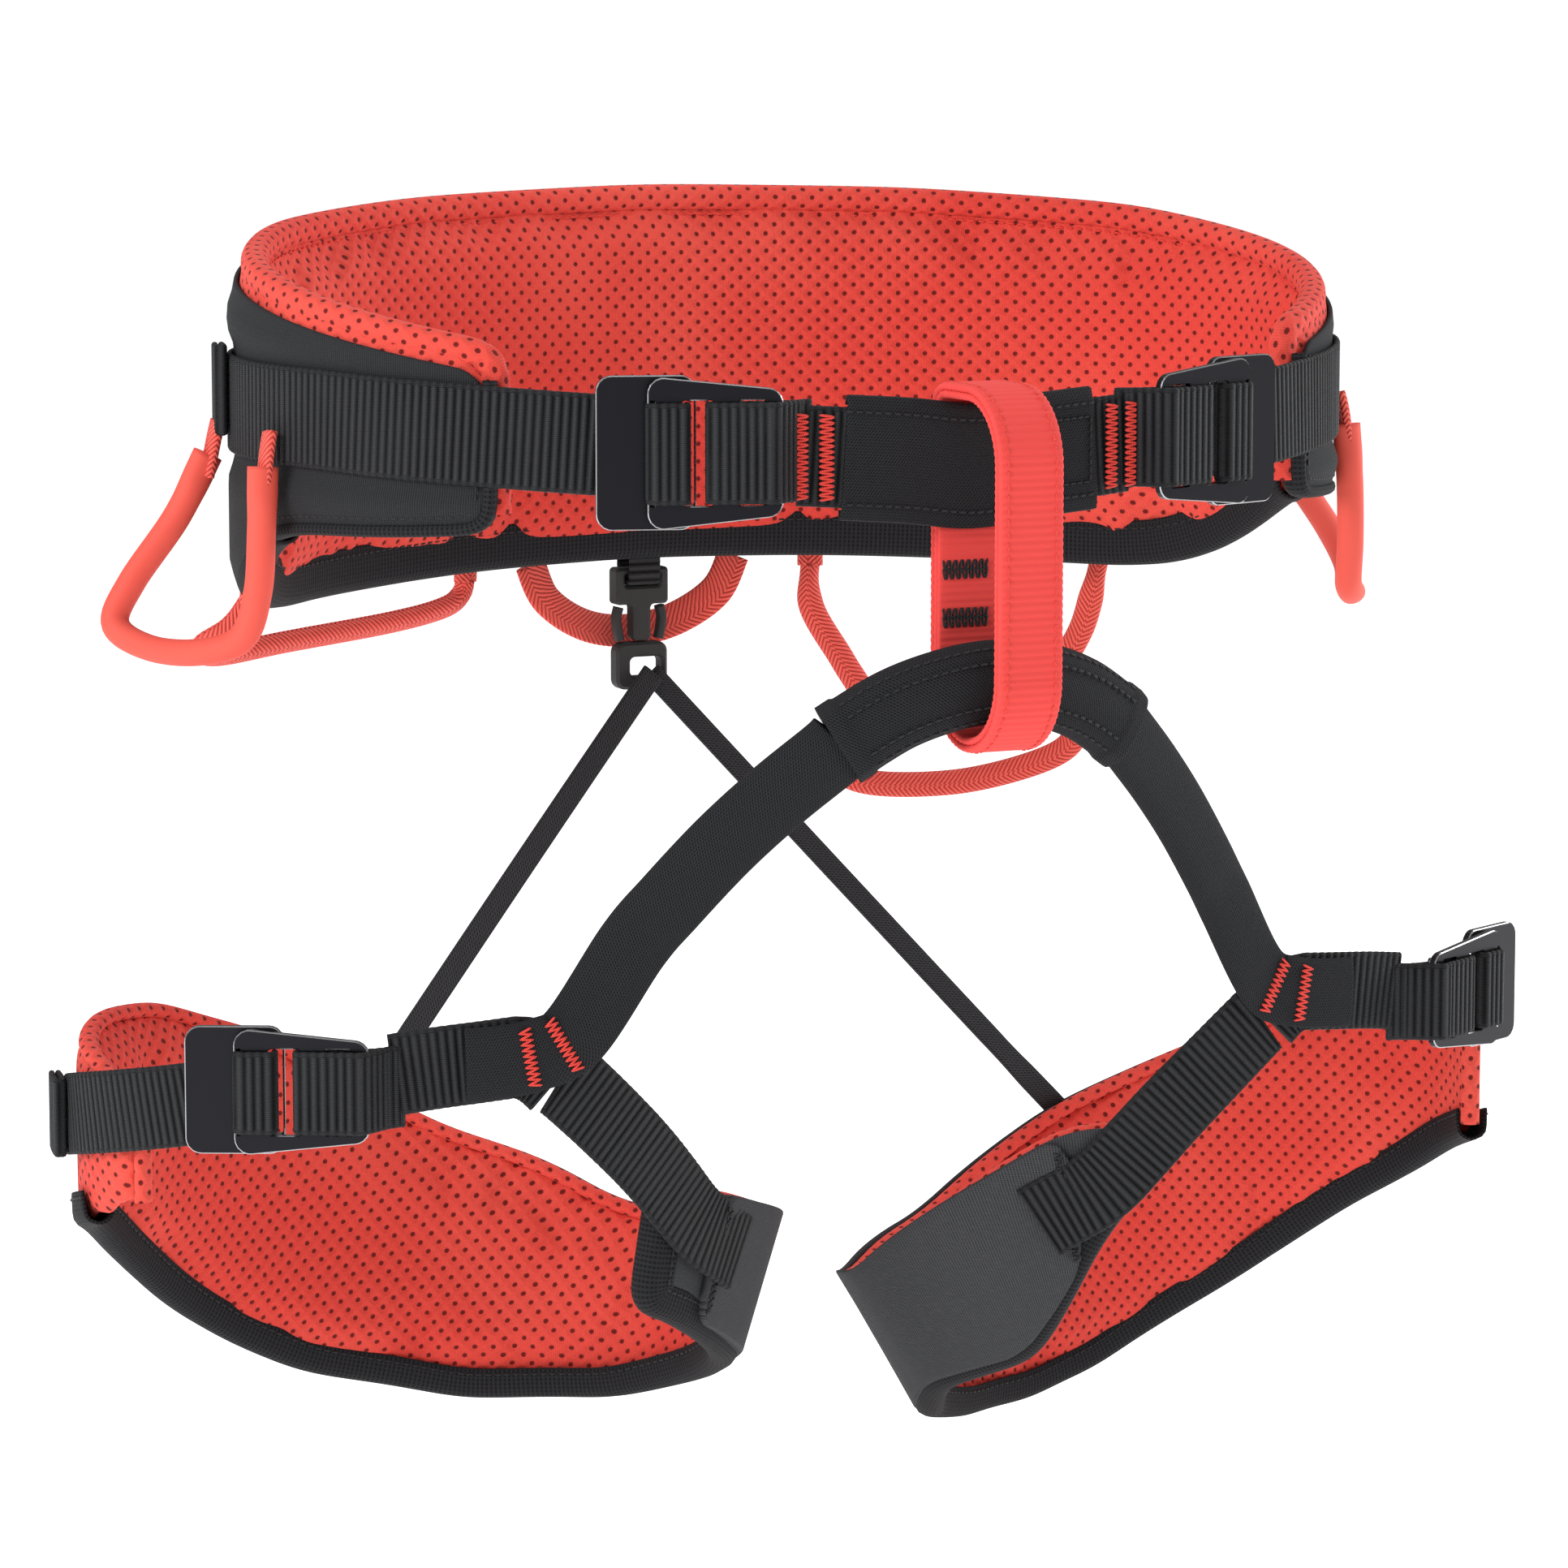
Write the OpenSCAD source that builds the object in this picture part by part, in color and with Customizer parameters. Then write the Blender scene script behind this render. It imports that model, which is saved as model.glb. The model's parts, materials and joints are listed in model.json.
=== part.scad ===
// Climbing and rigging sit harness: padded waist belt, two leg loops, a belay loop that ties
// them together, gear loops, a haul loop and elastic risers on a rear clip. Worn upright, +Z up,
// the wearer faces -Y. The origin is the middle of the waist opening.

/* [Waist belt] */
// Half the width of the waist belt, to the middle of its pad
waist_a = 170; // [150:1:205]
// Half the depth of the waist belt, front to back, to the middle of its pad
waist_b = 114; // [100:1:140]
// Thickness of the waist pad
waist_pad_t = 8; // [5:0.5:9]
// Thickness of the outer shell fabric and of the binding
shell_t = 1.5; // [1:0.1:2]
// Width of the waist webbing
waist_web_w = 29; // [24:0.5:34]
// Thickness of all load webbing
web_t = 1.8; // [1.2:0.1:2.2]
// Height of the binding along the lower edge of the waist pad
binding_h = 13; // [8:0.5:18]

/* [Leg loops] */
// Sideways distance from the middle to the centre of a leg loop
leg_x = 125; // [118:1:150]
// Half the width of a leg loop
leg_a = 105; // [85:1:110]
// Half the depth of a leg loop
leg_b = 73; // [62:1:88]
// How far the leg loops hang below the waist
leg_drop = 250; // [230:1:300]
// Thickness of a leg pad
leg_pad_t = 7; // [5:0.5:8]
// Width of the leg webbing
leg_web_w = 24; // [20:0.5:26]

/* [Buckles] */
// Thickness of one buckle plate
plate_t = 2.4; // [2:0.1:2.6]
// How far the webbing window is taller than the webbing
window_slack = 1; // [0.6:0.1:2]

/* [Belay loop] */
// Width of the belay loop webbing
belay_w = 20.5; // [16:0.5:24]
// Thickness of the belay loop, all layers
belay_t = 4.2; // [3.5:0.1:4.6]
// Depth of the belay loop, front to back, outside
belay_depth = 45; // [40:1:50]

/* [Gear loops] */
// Diameter of the moulded front gear loops
front_loop_d = 8; // [6:0.5:8.5]
// Diameter of the flexible rear gear loops
rear_loop_d = 6.5; // [5:0.5:7]

/* [Risers] */
// Width of the elastic risers
riser_w = 10; // [8:0.5:13]
// Thickness of the elastic risers
riser_t = 1.6; // [1:0.1:2]

/* [Hidden] */

// Clearances
gap = 0.3;
play = 0.5;
// Room behind the frame's inner edge for its tilt
tilt_room = 2.7;

// Places along a buckle, from the middle of its frame, outwards from the front centre
frame_half = 19.5;
inner_bar_x = 0.2;
outer_bar_x = 9.6;
outer_bar_end = 17.4;
// How much lower the frame is at its inner end
frame_taper = 8;

// Directions round a belt are angles from the front centre, positive towards +X
pad_start = 48;
pad_top = [[0, 9], [48, 13], [62, 19], [90, 31], [120, 42], [150, 47], [180, 49]];
pad_low = [[0, -36], [48, -40], [62, -42], [80, -43], [90, -49], [100, -61], [110, -70], [120, -73],
           [140, -72], [160, -70], [180, -69]];
web_mid = [[0, -21], [26, -16], [50, -12], [73, -9], [107, -8], [180, -8]];

// Radial places round the waist, from the middle of the pad outwards
waist_out = waist_pad_t / 2;
shell_in = waist_out + gap;
shell_out = shell_in + shell_t;
web_in = shell_out + gap;
web_out = web_in + web_t;
buckle_at = 26;
plate_in = web_out + 1;
plate_out = plate_in + plate_t;
frame_in = plate_out + 1;
frame_out = frame_in + plate_t;
waist_plate_h = waist_web_w + 15;
leg_plate_h = leg_web_w + 13;

// Leg loop edges and strap lines, heights from the leg loop's level
// Upper edge, lower edge, and how far the loop leans outwards for each mm below its upper edge.
// The right-hand loop lies rounder and lower at the back, as the left-hand one hangs more open
right_top = [[70, 38], [90, 44], [120, 39], [150, 19], [180, -2], [210, -31], [240, -41], [270, -32],
             [300, -2], [322, 20], [336, 21]];
right_low = [[70, -2], [90, -10], [120, -34], [150, -64], [180, -90], [200, -97], [225, -96],
             [250, -87], [270, -72], [300, -56], [315, -36], [322, -22], [336, 3]];
right_lean = [[70, 0], [125, 0], [180, 0.15], [220, 0.45], [270, 0.7], [300, 0.5], [320, 0.2], [336, 0]];
left_top = [[70, 45], [90, 55], [120, 61], [140, 59], [165, 44], [197, 10], [215, -1], [230, -14],
            [250, -18], [270, -15], [300, 0], [322, 11], [336, 11]];
left_low = [[70, 12], [90, 6], [115, -3], [135, -22], [150, -38], [165, -52], [180, -64], [210, -75],
            [240, -73], [270, -60], [300, -44], [322, -29], [336, -20]];
left_lean = [[70, 0], [125, 0], [200, 0.2], [270, 0.36], [310, 0.3], [336, 0.15]];
leg_web_mid = [[-30, 2], [0, 60], [15, 58], [36, 53], [60, 46], [90, 38], [125, 28]];
inner_web_mid = [[300, -30], [318, -8], [328, 2], [340, 26], [350, 44], [357, 56]];
leg_y = -10;
leg_out = leg_pad_t / 2;
leg_shell_t = 1;
leg_shell_out = leg_out + gap + leg_shell_t;
leg_web_in = leg_shell_out + gap;
leg_web_out = leg_web_in + web_t;
leg_buckle_at = 36;
leg_plate_in = leg_web_out + 1.2;
leg_frame_in = leg_plate_in + plate_t + 1;

// Belay loop and the bridge that it hangs on
belay_y = -(waist_b + 22.5);
belay_top = 2.5;
belay_low = -103;
sleeve_h = 24;
sleeve_d = 15;
sleeve_mid = -83;

// ---- shared shapes -------------------------------------------------------------------------

// Outward unit direction of the ellipse with half axes a and b, at angle t
function out_dir(a, b, t) = let(n = [b * sin(t), -a * cos(t)]) n / norm(n);

// Point at angle t, o outside the ellipse, at height z
function at(a, b, t, o, z) = let(n = out_dir(a, b, t)) [a * sin(t) + o * n[0], -b * cos(t) + o * n[1], z];

// Solid through a list of rings that all have the same number of points
module loft(rings) {
    n = len(rings[0]);
    m = len(rings);
    points = [for (r = rings) each r];
    sides = [for (i = [0 : m - 2], j = [0 : n - 1])
        let(p = i * n + j, q = i * n + (j + 1) % n)
        each [[p, q, q + n], [p, q + n, p + n]]];
    start_cap = [[for (j = [n - 1 : -1 : 0]) j]];
    end_cap = [[for (j = [0 : n - 1]) (m - 1) * n + j]];
    polyhedron(points = points, faces = concat(sides, start_cap, end_cap));
}

// Upright band on an ellipse, from angle t0 to t1, between offsets o0 and o1, with its upper and
// lower edges looked up in two tables and moved by up and down. Each mm below the table hang moves
// it along X by what the table lean says
module band(a, b, top, low, o0, o1, t0, t1, up = 0, down = 0, steps = 48, fold = false,
            lean = [[0, 0]], hang = [[0, 0]]) {
    loft([for (i = [0 : steps])
        let(t = t0 + (t1 - t0) * i / steps, k = fold ? (t > 180 ? 360 - t : abs(t)) : t,
            z0 = lookup(k, low) + down, z1 = lookup(k, top) + up,
            s = lookup(k, lean), h = lookup(k, hang), x0 = [s * (h - z0), 0, 0], x1 = [s * (h - z1), 0, 0])
        [at(a, b, t, o0, z0) + x0, at(a, b, t, o1, z0) + x0, at(a, b, t, o1, z1) + x1,
         at(a, b, t, o0, z1) + x1]]);
}

// Moves to a place on the ellipse: local X along it, Y inwards, Z up
module place(a, b, t, z) {
    n = out_dir(a, b, t);
    translate(at(a, b, t, 0, z)) rotate([0, 0, atan2(n[0], -n[1])]) children();
}

// Smooth route through hand-picked points, steps pieces between neighbours
function route(p, steps = 4) = [for (i = [0 : len(p) - 2], s = [0 : steps - 1])
    let(a = p[max(i - 1, 0)], b = p[i], c = p[i + 1], d = p[min(i + 2, len(p) - 1)], u = s / steps)
    0.5 * (2 * b + (c - a) * u + (2 * a - 5 * b + 4 * c - d) * u * u + (3 * b - a - 3 * c + d) * u * u * u),
    p[len(p) - 1]];

// Sweeps a section, given as points across and along ref, down a route
module sweep(section, p, ref) {
    last = len(p) - 1;
    loft([for (i = [0 : last])
        let(t = p[min(i + 1, last)] - p[max(i - 1, 0)], c = cross(t, ref), u = c / norm(c),
            w = cross(u, t), v = w / norm(w))
        [for (s = section) p[i] + s[0] * u + s[1] * v]]);
}

// Round and flat sections
function disc(r, sides = 10) = [for (i = [0 : sides - 1]) r * [cos(360 * i / sides), sin(360 * i / sides)]];
function oval(w, h, sides = 12) = [for (i = [0 : sides - 1]) [w / 2 * cos(360 * i / sides), h / 2 * sin(360 * i / sides)]];
function flat(w, h) = [[-w / 2, -h / 2], [w / 2, -h / 2], [w / 2, h / 2], [-w / 2, h / 2]];

// Rectangle with rounded corners
module rounded(w, h, r) {
    square([w - 2 * r, h], center = true);
    square([w, h - 2 * r], center = true);
    for (x = [-1, 1], y = [-1, 1])
        translate([x * (w / 2 - r), y * (h / 2 - r)]) circle(r, $fn = 32);
}

// Quarter turn of radius r round [x, y] from angle a
function turn(x, y, r, a, n = 8) = [for (i = [0 : n]) [x + r * cos(a + i * 90 / n), y + r * sin(a + i * 90 / n)]];

// Plate outline w long that is h0 high at its inner end and h1 at its outer end
module keystone(w, h0, h1, r) {
    polygon(concat(turn(w / 2 - r, h1 / 2 - r, r, 0), turn(r - w / 2, h0 / 2 - r, r, 90),
                   turn(r - w / 2, r - h0 / 2, r, 180), turn(w / 2 - r, r - h1 / 2, r, 270)));
}

module other_side() { mirror([1, 0, 0]) children(); }

// ---- two-plate buckle, in the local axes of place(): X runs away from the front centre -------

// Back plate: solid towards the wearer's side, open under the window
module back_plate(h, web, y) {
    color("#16171a")
    translate([0, -y, 0]) rotate([90, 0, 0]) linear_extrude(plate_t)
    difference() {
        translate([frame_half, 0]) rounded(29, h, 4);
        translate([inner_bar_x, -(web + window_slack) / 2]) square([10.3, web + window_slack]);
    }
}

// Front frame: bar for the fixed webbing, window, bar for the fold
module front_frame(h, web, y) {
    color("#1b1c20")
    translate([0, -y, 0]) rotate([90, 0, 0]) linear_extrude(plate_t)
    difference() {
        keystone(2 * frame_half, h - frame_taper, h, 4);
        translate([inner_bar_x, -(web + window_slack) / 2])
            square([outer_bar_x - inner_bar_x, web + window_slack]);
        translate([-14.5, -(web + window_slack) / 2]) square([8, web + window_slack]);
        translate([outer_bar_end, -(web + window_slack) / 2]) square([10, web + window_slack]);
    }
}

// Fold of the adjustable webbing over the outer bar of the frame
module strap_fold(web, y) {
    color("#202124")
    translate([0, 0, -web / 2]) linear_extrude(web)
    difference() {
        translate([outer_bar_x - web_t - gap, -y - plate_t - gap - web_t])
            square([outer_bar_end - outer_bar_x + 2 * (web_t + gap), web_t + plate_t + 2 * gap]);
        translate([outer_bar_x - gap, -y - plate_t - gap])
            square([outer_bar_end - outer_bar_x + 2 * gap, plate_t + 3 * gap]);
    }
}

// Fixed webbing looped round the inner bar at radial place y. Its two layers meet at tail, the
// plan points where the belt's own webbing begins
module bar_loop(web, y, tail) {
    front = y + plate_t + play;
    back = y - tilt_room;
    nose = inner_bar_x + play;
    color("#202124")
    translate([0, 0, -web / 2]) linear_extrude(web)
    difference() {
        polygon([tail[0], [-frame_half - 2, -back + web_t], [nose + web_t, -back + web_t],
                 [nose + web_t, -front - web_t], [-frame_half - 1, -front - web_t], tail[1]]);
        polygon([[-frame_half - 3, -back - 1], [-frame_half - 1, -back], [nose, -back],
                 [nose, -front], [-frame_half - 0.6, -front]]);
    }
}

// Plan position of a point at angle t and offset o, in the local axes of place() at t0
function local(a, b, t0, t, o) =
    let(d = at(a, b, t, o, 0) - at(a, b, t0, 0, 0), n = out_dir(a, b, t0)) [-n[1] * d[0] + n[0] * d[1], -n[0] * d[0] - n[1] * d[1]];

// ---- waist belt ------------------------------------------------------------------------------

module waist_pad() {
    color("#e4453f") band(waist_a, waist_b, pad_top, pad_low, -waist_out, waist_out,
                          pad_start, 360 - pad_start, fold = true, steps = 60);
}

module waist_shell_right() {
    color("#3a3b3e") band(waist_a, waist_b, pad_top, pad_low, shell_in, shell_out,
                          pad_start + 2, 179.8, up = -9, down = binding_h + gap, fold = true);
}

module waist_shell_left() { other_side() waist_shell_right(); }

module waist_binding() {
    color("#1d1e20") band(waist_a, waist_b, pad_low, pad_low, shell_in, shell_out,
                          pad_start + 2, 358 - pad_start, up = binding_h, fold = true, steps = 60);
}

module waist_webbing() {
    color("#202124") band(waist_a, waist_b, web_mid, web_mid, web_in, web_out, buckle_at + 4,
                          356 - buckle_at, up = waist_web_w / 2, down = -waist_web_w / 2,
                          fold = true, steps = 60);
}

bridge_end = buckle_at - 9;

module waist_bar_loop() {
    waist_buckle_place() bar_loop(waist_web_w, frame_in,
        [local(waist_a, waist_b, buckle_at, bridge_end - 0.6, web_in),
         local(waist_a, waist_b, buckle_at, bridge_end - 0.6, web_out)]);
}

// Webbing across the front, sewn back on itself round the inner bar of each frame
module front_bridge() {
    color("#202124") {
        band(waist_a, waist_b, web_mid, web_mid, web_in, web_out, -bridge_end, bridge_end,
             up = waist_web_w / 2, down = -waist_web_w / 2, fold = true, steps = 16);
        waist_bar_loop();
        other_side() waist_bar_loop();
    }
}

module tie_in_sleeve() {
    color("#26272a") band(waist_a, waist_b, web_mid, web_mid, web_out + gap, web_out + gap + 1.6,
                          -13, 13, up = waist_web_w / 2 + 3, down = -waist_web_w / 2 - 3,
                          fold = true, steps = 12);
}

module waist_buckle_place() { place(waist_a, waist_b, buckle_at, lookup(buckle_at, web_mid)) children(); }

module waist_plate_right() { waist_buckle_place() back_plate(waist_plate_h, waist_web_w, plate_in); }
module waist_plate_left() { other_side() waist_plate_right(); }
module waist_frame_right() { waist_buckle_place() front_frame(waist_plate_h, waist_web_w, frame_in); }
module waist_frame_left() { other_side() waist_frame_right(); }
module waist_fold_right() { waist_buckle_place() strap_fold(waist_web_w, frame_in); }
module waist_fold_left() { other_side() waist_fold_right(); }

// Tail of the webbing, folded back on itself behind a keeper
module waist_tail_right() {
    color("#1d1e20") band(waist_a, waist_b, web_mid, web_mid, web_out + gap, web_out + gap + 3.6,
                          88, 96, up = waist_web_w / 2 - 1, down = -waist_web_w / 2 + 1,
                          fold = true, steps = 4);
}
module waist_tail_left() {
    color("#1d1e20") band(waist_a, waist_b, web_mid, web_mid, web_out + gap, web_out + gap + 3.6,
                          256, 262, up = waist_web_w / 2 + 4, down = -waist_web_w / 2 + 4,
                          fold = true, steps = 4);
}

// ---- belay loop ------------------------------------------------------------------------------

// Outline of the loop drawn in by inset: round in front and below, tight where it passes behind the bridge
module belay_outline(inset) {
    r = belay_depth / 2;
    tight = belay_t + 4;
    polygon(concat(
        turn(0, belay_low + r, r - inset, 180, 16), turn(0, belay_low + r, r - inset, 270, 16),
        turn(r - tight, belay_top - tight, tight - inset, 0, 8), turn(0, belay_top - r, r - inset, 90, 16)));
}

module belay_loop() {
    color("#e23b35")
    translate([-belay_w / 2, belay_y, 0])
    rotate([90, 0, 90]) linear_extrude(belay_w)
    difference() {
        belay_outline(0);
        belay_outline(belay_t);
    }
}

// ---- gear loops and haul loop ----------------------------------------------------------------

grow_x = waist_a - 170;
grow_y = waist_b - 114;
front_route = [[181, -23, -24], [182, -24, -42], [183, -23, -60], [186, -17, -74], [195, -4, -79],
               [204, 14, -79], [210, 26, -73], [204, 28, -61], [190, 27, -42], [181, 24, -24]];
rear_route = [[61, 118, -75], [62, 119, -90], [72, 116, -108], [79, 113, -122], [75, 110, -134],
              [68, 108, -143], [80, 105, -148], [108, 99, -148], [132, 88, -141], [141, 83, -133],
              [137, 82, -122], [135, 83, -112], [142, 79, -95], [146, 76, -74]];
rear_route_left = [[-61, 118, -75], [-62, 119, -80], [-69, 117, -84], [-90, 110, -87],
                   [-130, 98, -90], [-152, 91, -92], [-161, 84, -91], [-164, 76, -87],
                   [-158, 72, -82], [-152, 71, -74]];
haul_route = [[-36, 124, -72], [-30, 125, -84], [-16, 128, -93], [0, 130, -96], [16, 128, -93],
              [30, 125, -84], [36, 124, -72]];

module front_gear_loop_right() {
    color("#e8423b") translate([grow_x, 0, 0]) sweep(disc(front_loop_d / 2), route(front_route), [1, 0, 0.3]);
}
module front_gear_loop_left() { other_side() front_gear_loop_right(); }
module rear_gear_loop_right() {
    color("#e8423b") translate([0, grow_y, 0]) sweep(disc(rear_loop_d / 2, 8), route(rear_route, 3), [0.45, 0.9, 0]);
}
module rear_gear_loop_left() {
    color("#e8423b") translate([0, grow_y, 0]) sweep(disc(rear_loop_d / 2, 8), route(rear_route_left, 3), [0.35, 0.7, 0.6]);
}
module haul_loop() {
    color("#e8423b") translate([0, grow_y, 0]) sweep(flat(2.2, 11), route(haul_route, 3), [0, 0.94, -0.34]);
}

// ---- rear clip and risers --------------------------------------------------------------------

clip_y = waist_b + 5;
clip_top = -75;

// Tape looped round the clip's upper bar, under the belt's lower edge
module riser_tab() {
    color("#202124")
    translate([-5.5, clip_y, clip_top]) rotate([90, 0, 90]) linear_extrude(11)
    difference() {
        translate([-5.7, -4.8]) square([11.4, 10]);
        translate([-3.9, -3]) square([7.8, 6.4]);
    }
}

// Upper half: a slot for the tab over an open socket for the two prongs
module clip_body() {
    color("#232427")
    translate([0, clip_y + 3.6, clip_top]) rotate([90, 0, 0]) linear_extrude(7.2)
    difference() {
        union() {
            translate([0, -5]) rounded(18.5, 12, 3);
            translate([0, -16]) square([6, 14], center = true);
        }
        translate([-6, -5.1]) square([12, 4]);
    }
}

// Lower half: a bar with a hook below that holds the risers' loop
module clip_hook() {
    color("#1e1f22")
    translate([0, clip_y + 3.2, clip_top]) rotate([90, 0, 0]) linear_extrude(6.4)
    difference() {
        translate([0, -31]) rounded(18, 15.4, 3);
        translate([1.4, -31.4]) square([11, 6.4], center = true);
    }
}

// Springy prong on each side between the halves
module clip_prong_right() {
    color("#1e1f22") translate([5.2, clip_y - 2, clip_top - 22.8]) cube([3.2, 4, 11]);
}
module clip_prong_left() { other_side() clip_prong_right(); }

riser_top = [2, clip_y - 4.8, clip_top - 33];
riser_right_end = [leg_x - 4, leg_y + leg_b, -leg_drop + 1];
riser_left_end = [-leg_x + 13, leg_y + leg_b, -leg_drop + 27];

// Elastic strap from the hook down to the back of a leg pad, lying on the other one at the top
module riser(side, end) {
    top = riser_top + [0, (side - 1) * 1.1, 0];
    color("#2c2d30") sweep(flat(riser_t, riser_w), [top, (top * 2 + end) / 3, (top + end * 2) / 3, end], [1, 0, 0]);
}

// ---- leg bridge ------------------------------------------------------------------------------

bridge_route = [[0, belay_y, sleeve_mid], [14, belay_y + 0.5, sleeve_mid - 1.5],
                [30, belay_y + 4, sleeve_mid - 7], [46, belay_y + 9, sleeve_mid - 17]];

module bridge_sleeve() {
    color("#242528")
    sweep(oval(sleeve_d, sleeve_h),
          route([for (i = [3 : -1 : 1]) [-bridge_route[i][0], bridge_route[i][1], bridge_route[i][2]],
                 for (p = bridge_route) p]), [0, 0, 1]);
}

// Where the arm meets the leg loop's webbing
knee = [leg_x - 24, leg_y - leg_b - 13, 86 - leg_drop];

module bridge_arm_right() {
    s = bridge_route[3] + [2.7, 1.4, -3.4];
    color("#242528")
    sweep(oval(7, 21, 10), route([for (f = [0, 0.25, 0.5, 0.75, 1])
        s + f * (knee - s) + [0, 0, 4 * sin(180 * f)]], 3), [0.68, 0.22, 0.68]);
}
module bridge_arm_left() { other_side() bridge_arm_right(); }

// ---- leg loops -------------------------------------------------------------------------------

module leg_place() { translate([leg_x, leg_y, -leg_drop]) children(); }

// Angles round a leg loop run from the front towards the outer side
// Pad, shell and binding are cut at the same angles, 3.5 degrees apart, so that they lie along each other
module leg_pad(top, low, lean) {
    color("#e4453f") leg_place() band(leg_a, leg_b, top, low, -leg_out, leg_out, 70, 336, steps = 76,
                                      lean = lean, hang = top);
}
module leg_shell(top, low, lean) {
    color("#4a4b4e") leg_place() band(leg_a, leg_b, top, low, leg_out + gap, leg_shell_out, 129.5, 332.5,
                                      up = -1, down = 9, steps = 58, lean = lean, hang = top);
}
module leg_binding(top, low, lean) {
    color("#1d1e20") leg_place() band(leg_a, leg_b, low, low, leg_out + gap, leg_shell_out, 73.5, 332.5,
                                      up = 8.6, steps = 74, lean = lean, hang = top);
}
module leg_pad_right() { leg_pad(right_top, right_low, right_lean); }
module leg_pad_left() { other_side() leg_pad(left_top, left_low, left_lean); }
module leg_shell_right() { leg_shell(right_top, right_low, right_lean); }
module leg_shell_left() { other_side() leg_shell(left_top, left_low, left_lean); }
module leg_binding_right() { leg_binding(right_top, right_low, right_lean); }
module leg_binding_left() { other_side() leg_binding(left_top, left_low, left_lean); }
module leg_strap_right() {
    color("#202124") leg_place() band(leg_a, leg_b, leg_web_mid, leg_web_mid, leg_web_in, leg_web_out,
                                      leg_buckle_at + 6, 122, up = leg_web_w / 2, down = -leg_web_w / 2, steps = 20);
}
module leg_strap_left() { other_side() leg_strap_right(); }
module inner_strap_right() {
    color("#202124") leg_place() band(leg_a, leg_b, inner_web_mid, inner_web_mid, leg_web_in, leg_web_out,
                                      318, 354, up = leg_web_w / 2, down = -leg_web_w / 2, steps = 14);
}
module inner_strap_left() { other_side() inner_strap_right(); }

module leg_buckle_place() {
    leg_place() place(leg_a, leg_b, leg_buckle_at, lookup(leg_buckle_at, leg_web_mid)) children();
}
module leg_plate_right() { leg_buckle_place() back_plate(leg_plate_h, leg_web_w, leg_plate_in); }
module leg_plate_left() { other_side() leg_plate_right(); }
module leg_frame_right() { leg_buckle_place() front_frame(leg_plate_h, leg_web_w, leg_frame_in); }
module leg_frame_left() { other_side() leg_frame_right(); }
module leg_fold_right() { leg_buckle_place() strap_fold(leg_web_w, leg_frame_in); }
module leg_fold_left() { other_side() leg_fold_right(); }

// Short webbing from the bridge arm, sewn back on itself round the inner bar of the frame
module leg_link_right() {
    link_end = leg_buckle_at - 15;
    color("#202124") {
        leg_place() band(leg_a, leg_b, leg_web_mid, leg_web_mid, leg_web_in, leg_web_out,
                         -4, link_end, up = leg_web_w / 2, down = -leg_web_w / 2, steps = 12);
        leg_buckle_place() bar_loop(leg_web_w, leg_frame_in,
            [local(leg_a, leg_b, leg_buckle_at, link_end - 0.6, leg_web_in),
             local(leg_a, leg_b, leg_buckle_at, link_end - 0.6, leg_web_out)]);
    }
}
module leg_link_left() { other_side() leg_link_right(); }

module leg_tail_right() {
    color("#1d1e20") leg_place() band(leg_a, leg_b, leg_web_mid, leg_web_mid, leg_web_out + gap, leg_web_out + gap + 3.6,
                                      96, 102, up = leg_web_w / 2, down = -leg_web_w / 2, steps = 4);
}
module leg_tail_left() { other_side() leg_tail_right(); }

waist_pad();
waist_shell_right();
waist_shell_left();
waist_binding();
waist_webbing();
front_bridge();
tie_in_sleeve();
waist_plate_right();
waist_plate_left();
waist_frame_right();
waist_frame_left();
waist_fold_right();
waist_fold_left();
waist_tail_right();
waist_tail_left();
belay_loop();
front_gear_loop_right();
front_gear_loop_left();
rear_gear_loop_right();
rear_gear_loop_left();
haul_loop();
riser_tab();
clip_body();
clip_hook();
clip_prong_right();
clip_prong_left();
riser(1, riser_right_end);  // riser_right
riser(-1, riser_left_end);  // riser_left
bridge_sleeve();
bridge_arm_right();
bridge_arm_left();
leg_pad_right();
leg_pad_left();
leg_shell_right();
leg_shell_left();
leg_binding_right();
leg_binding_left();
leg_strap_right();
leg_strap_left();
inner_strap_right();
inner_strap_left();
leg_plate_right();
leg_plate_left();
leg_frame_right();
leg_frame_left();
leg_fold_right();
leg_fold_left();
leg_link_right();
leg_link_left();
leg_tail_right();
leg_tail_left();
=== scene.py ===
"""Looks of a climbing and rigging sit harness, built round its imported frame.

Lengths in this file are millimetres until a mesh is made, which turns them into metres. Directions round
a belt are angles from the front centre, positive towards +X, as in the part's own source.
"""
import json
import logging
import math
from dataclasses import dataclass, replace
from enum import Enum
from typing import Callable, Sequence

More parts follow.
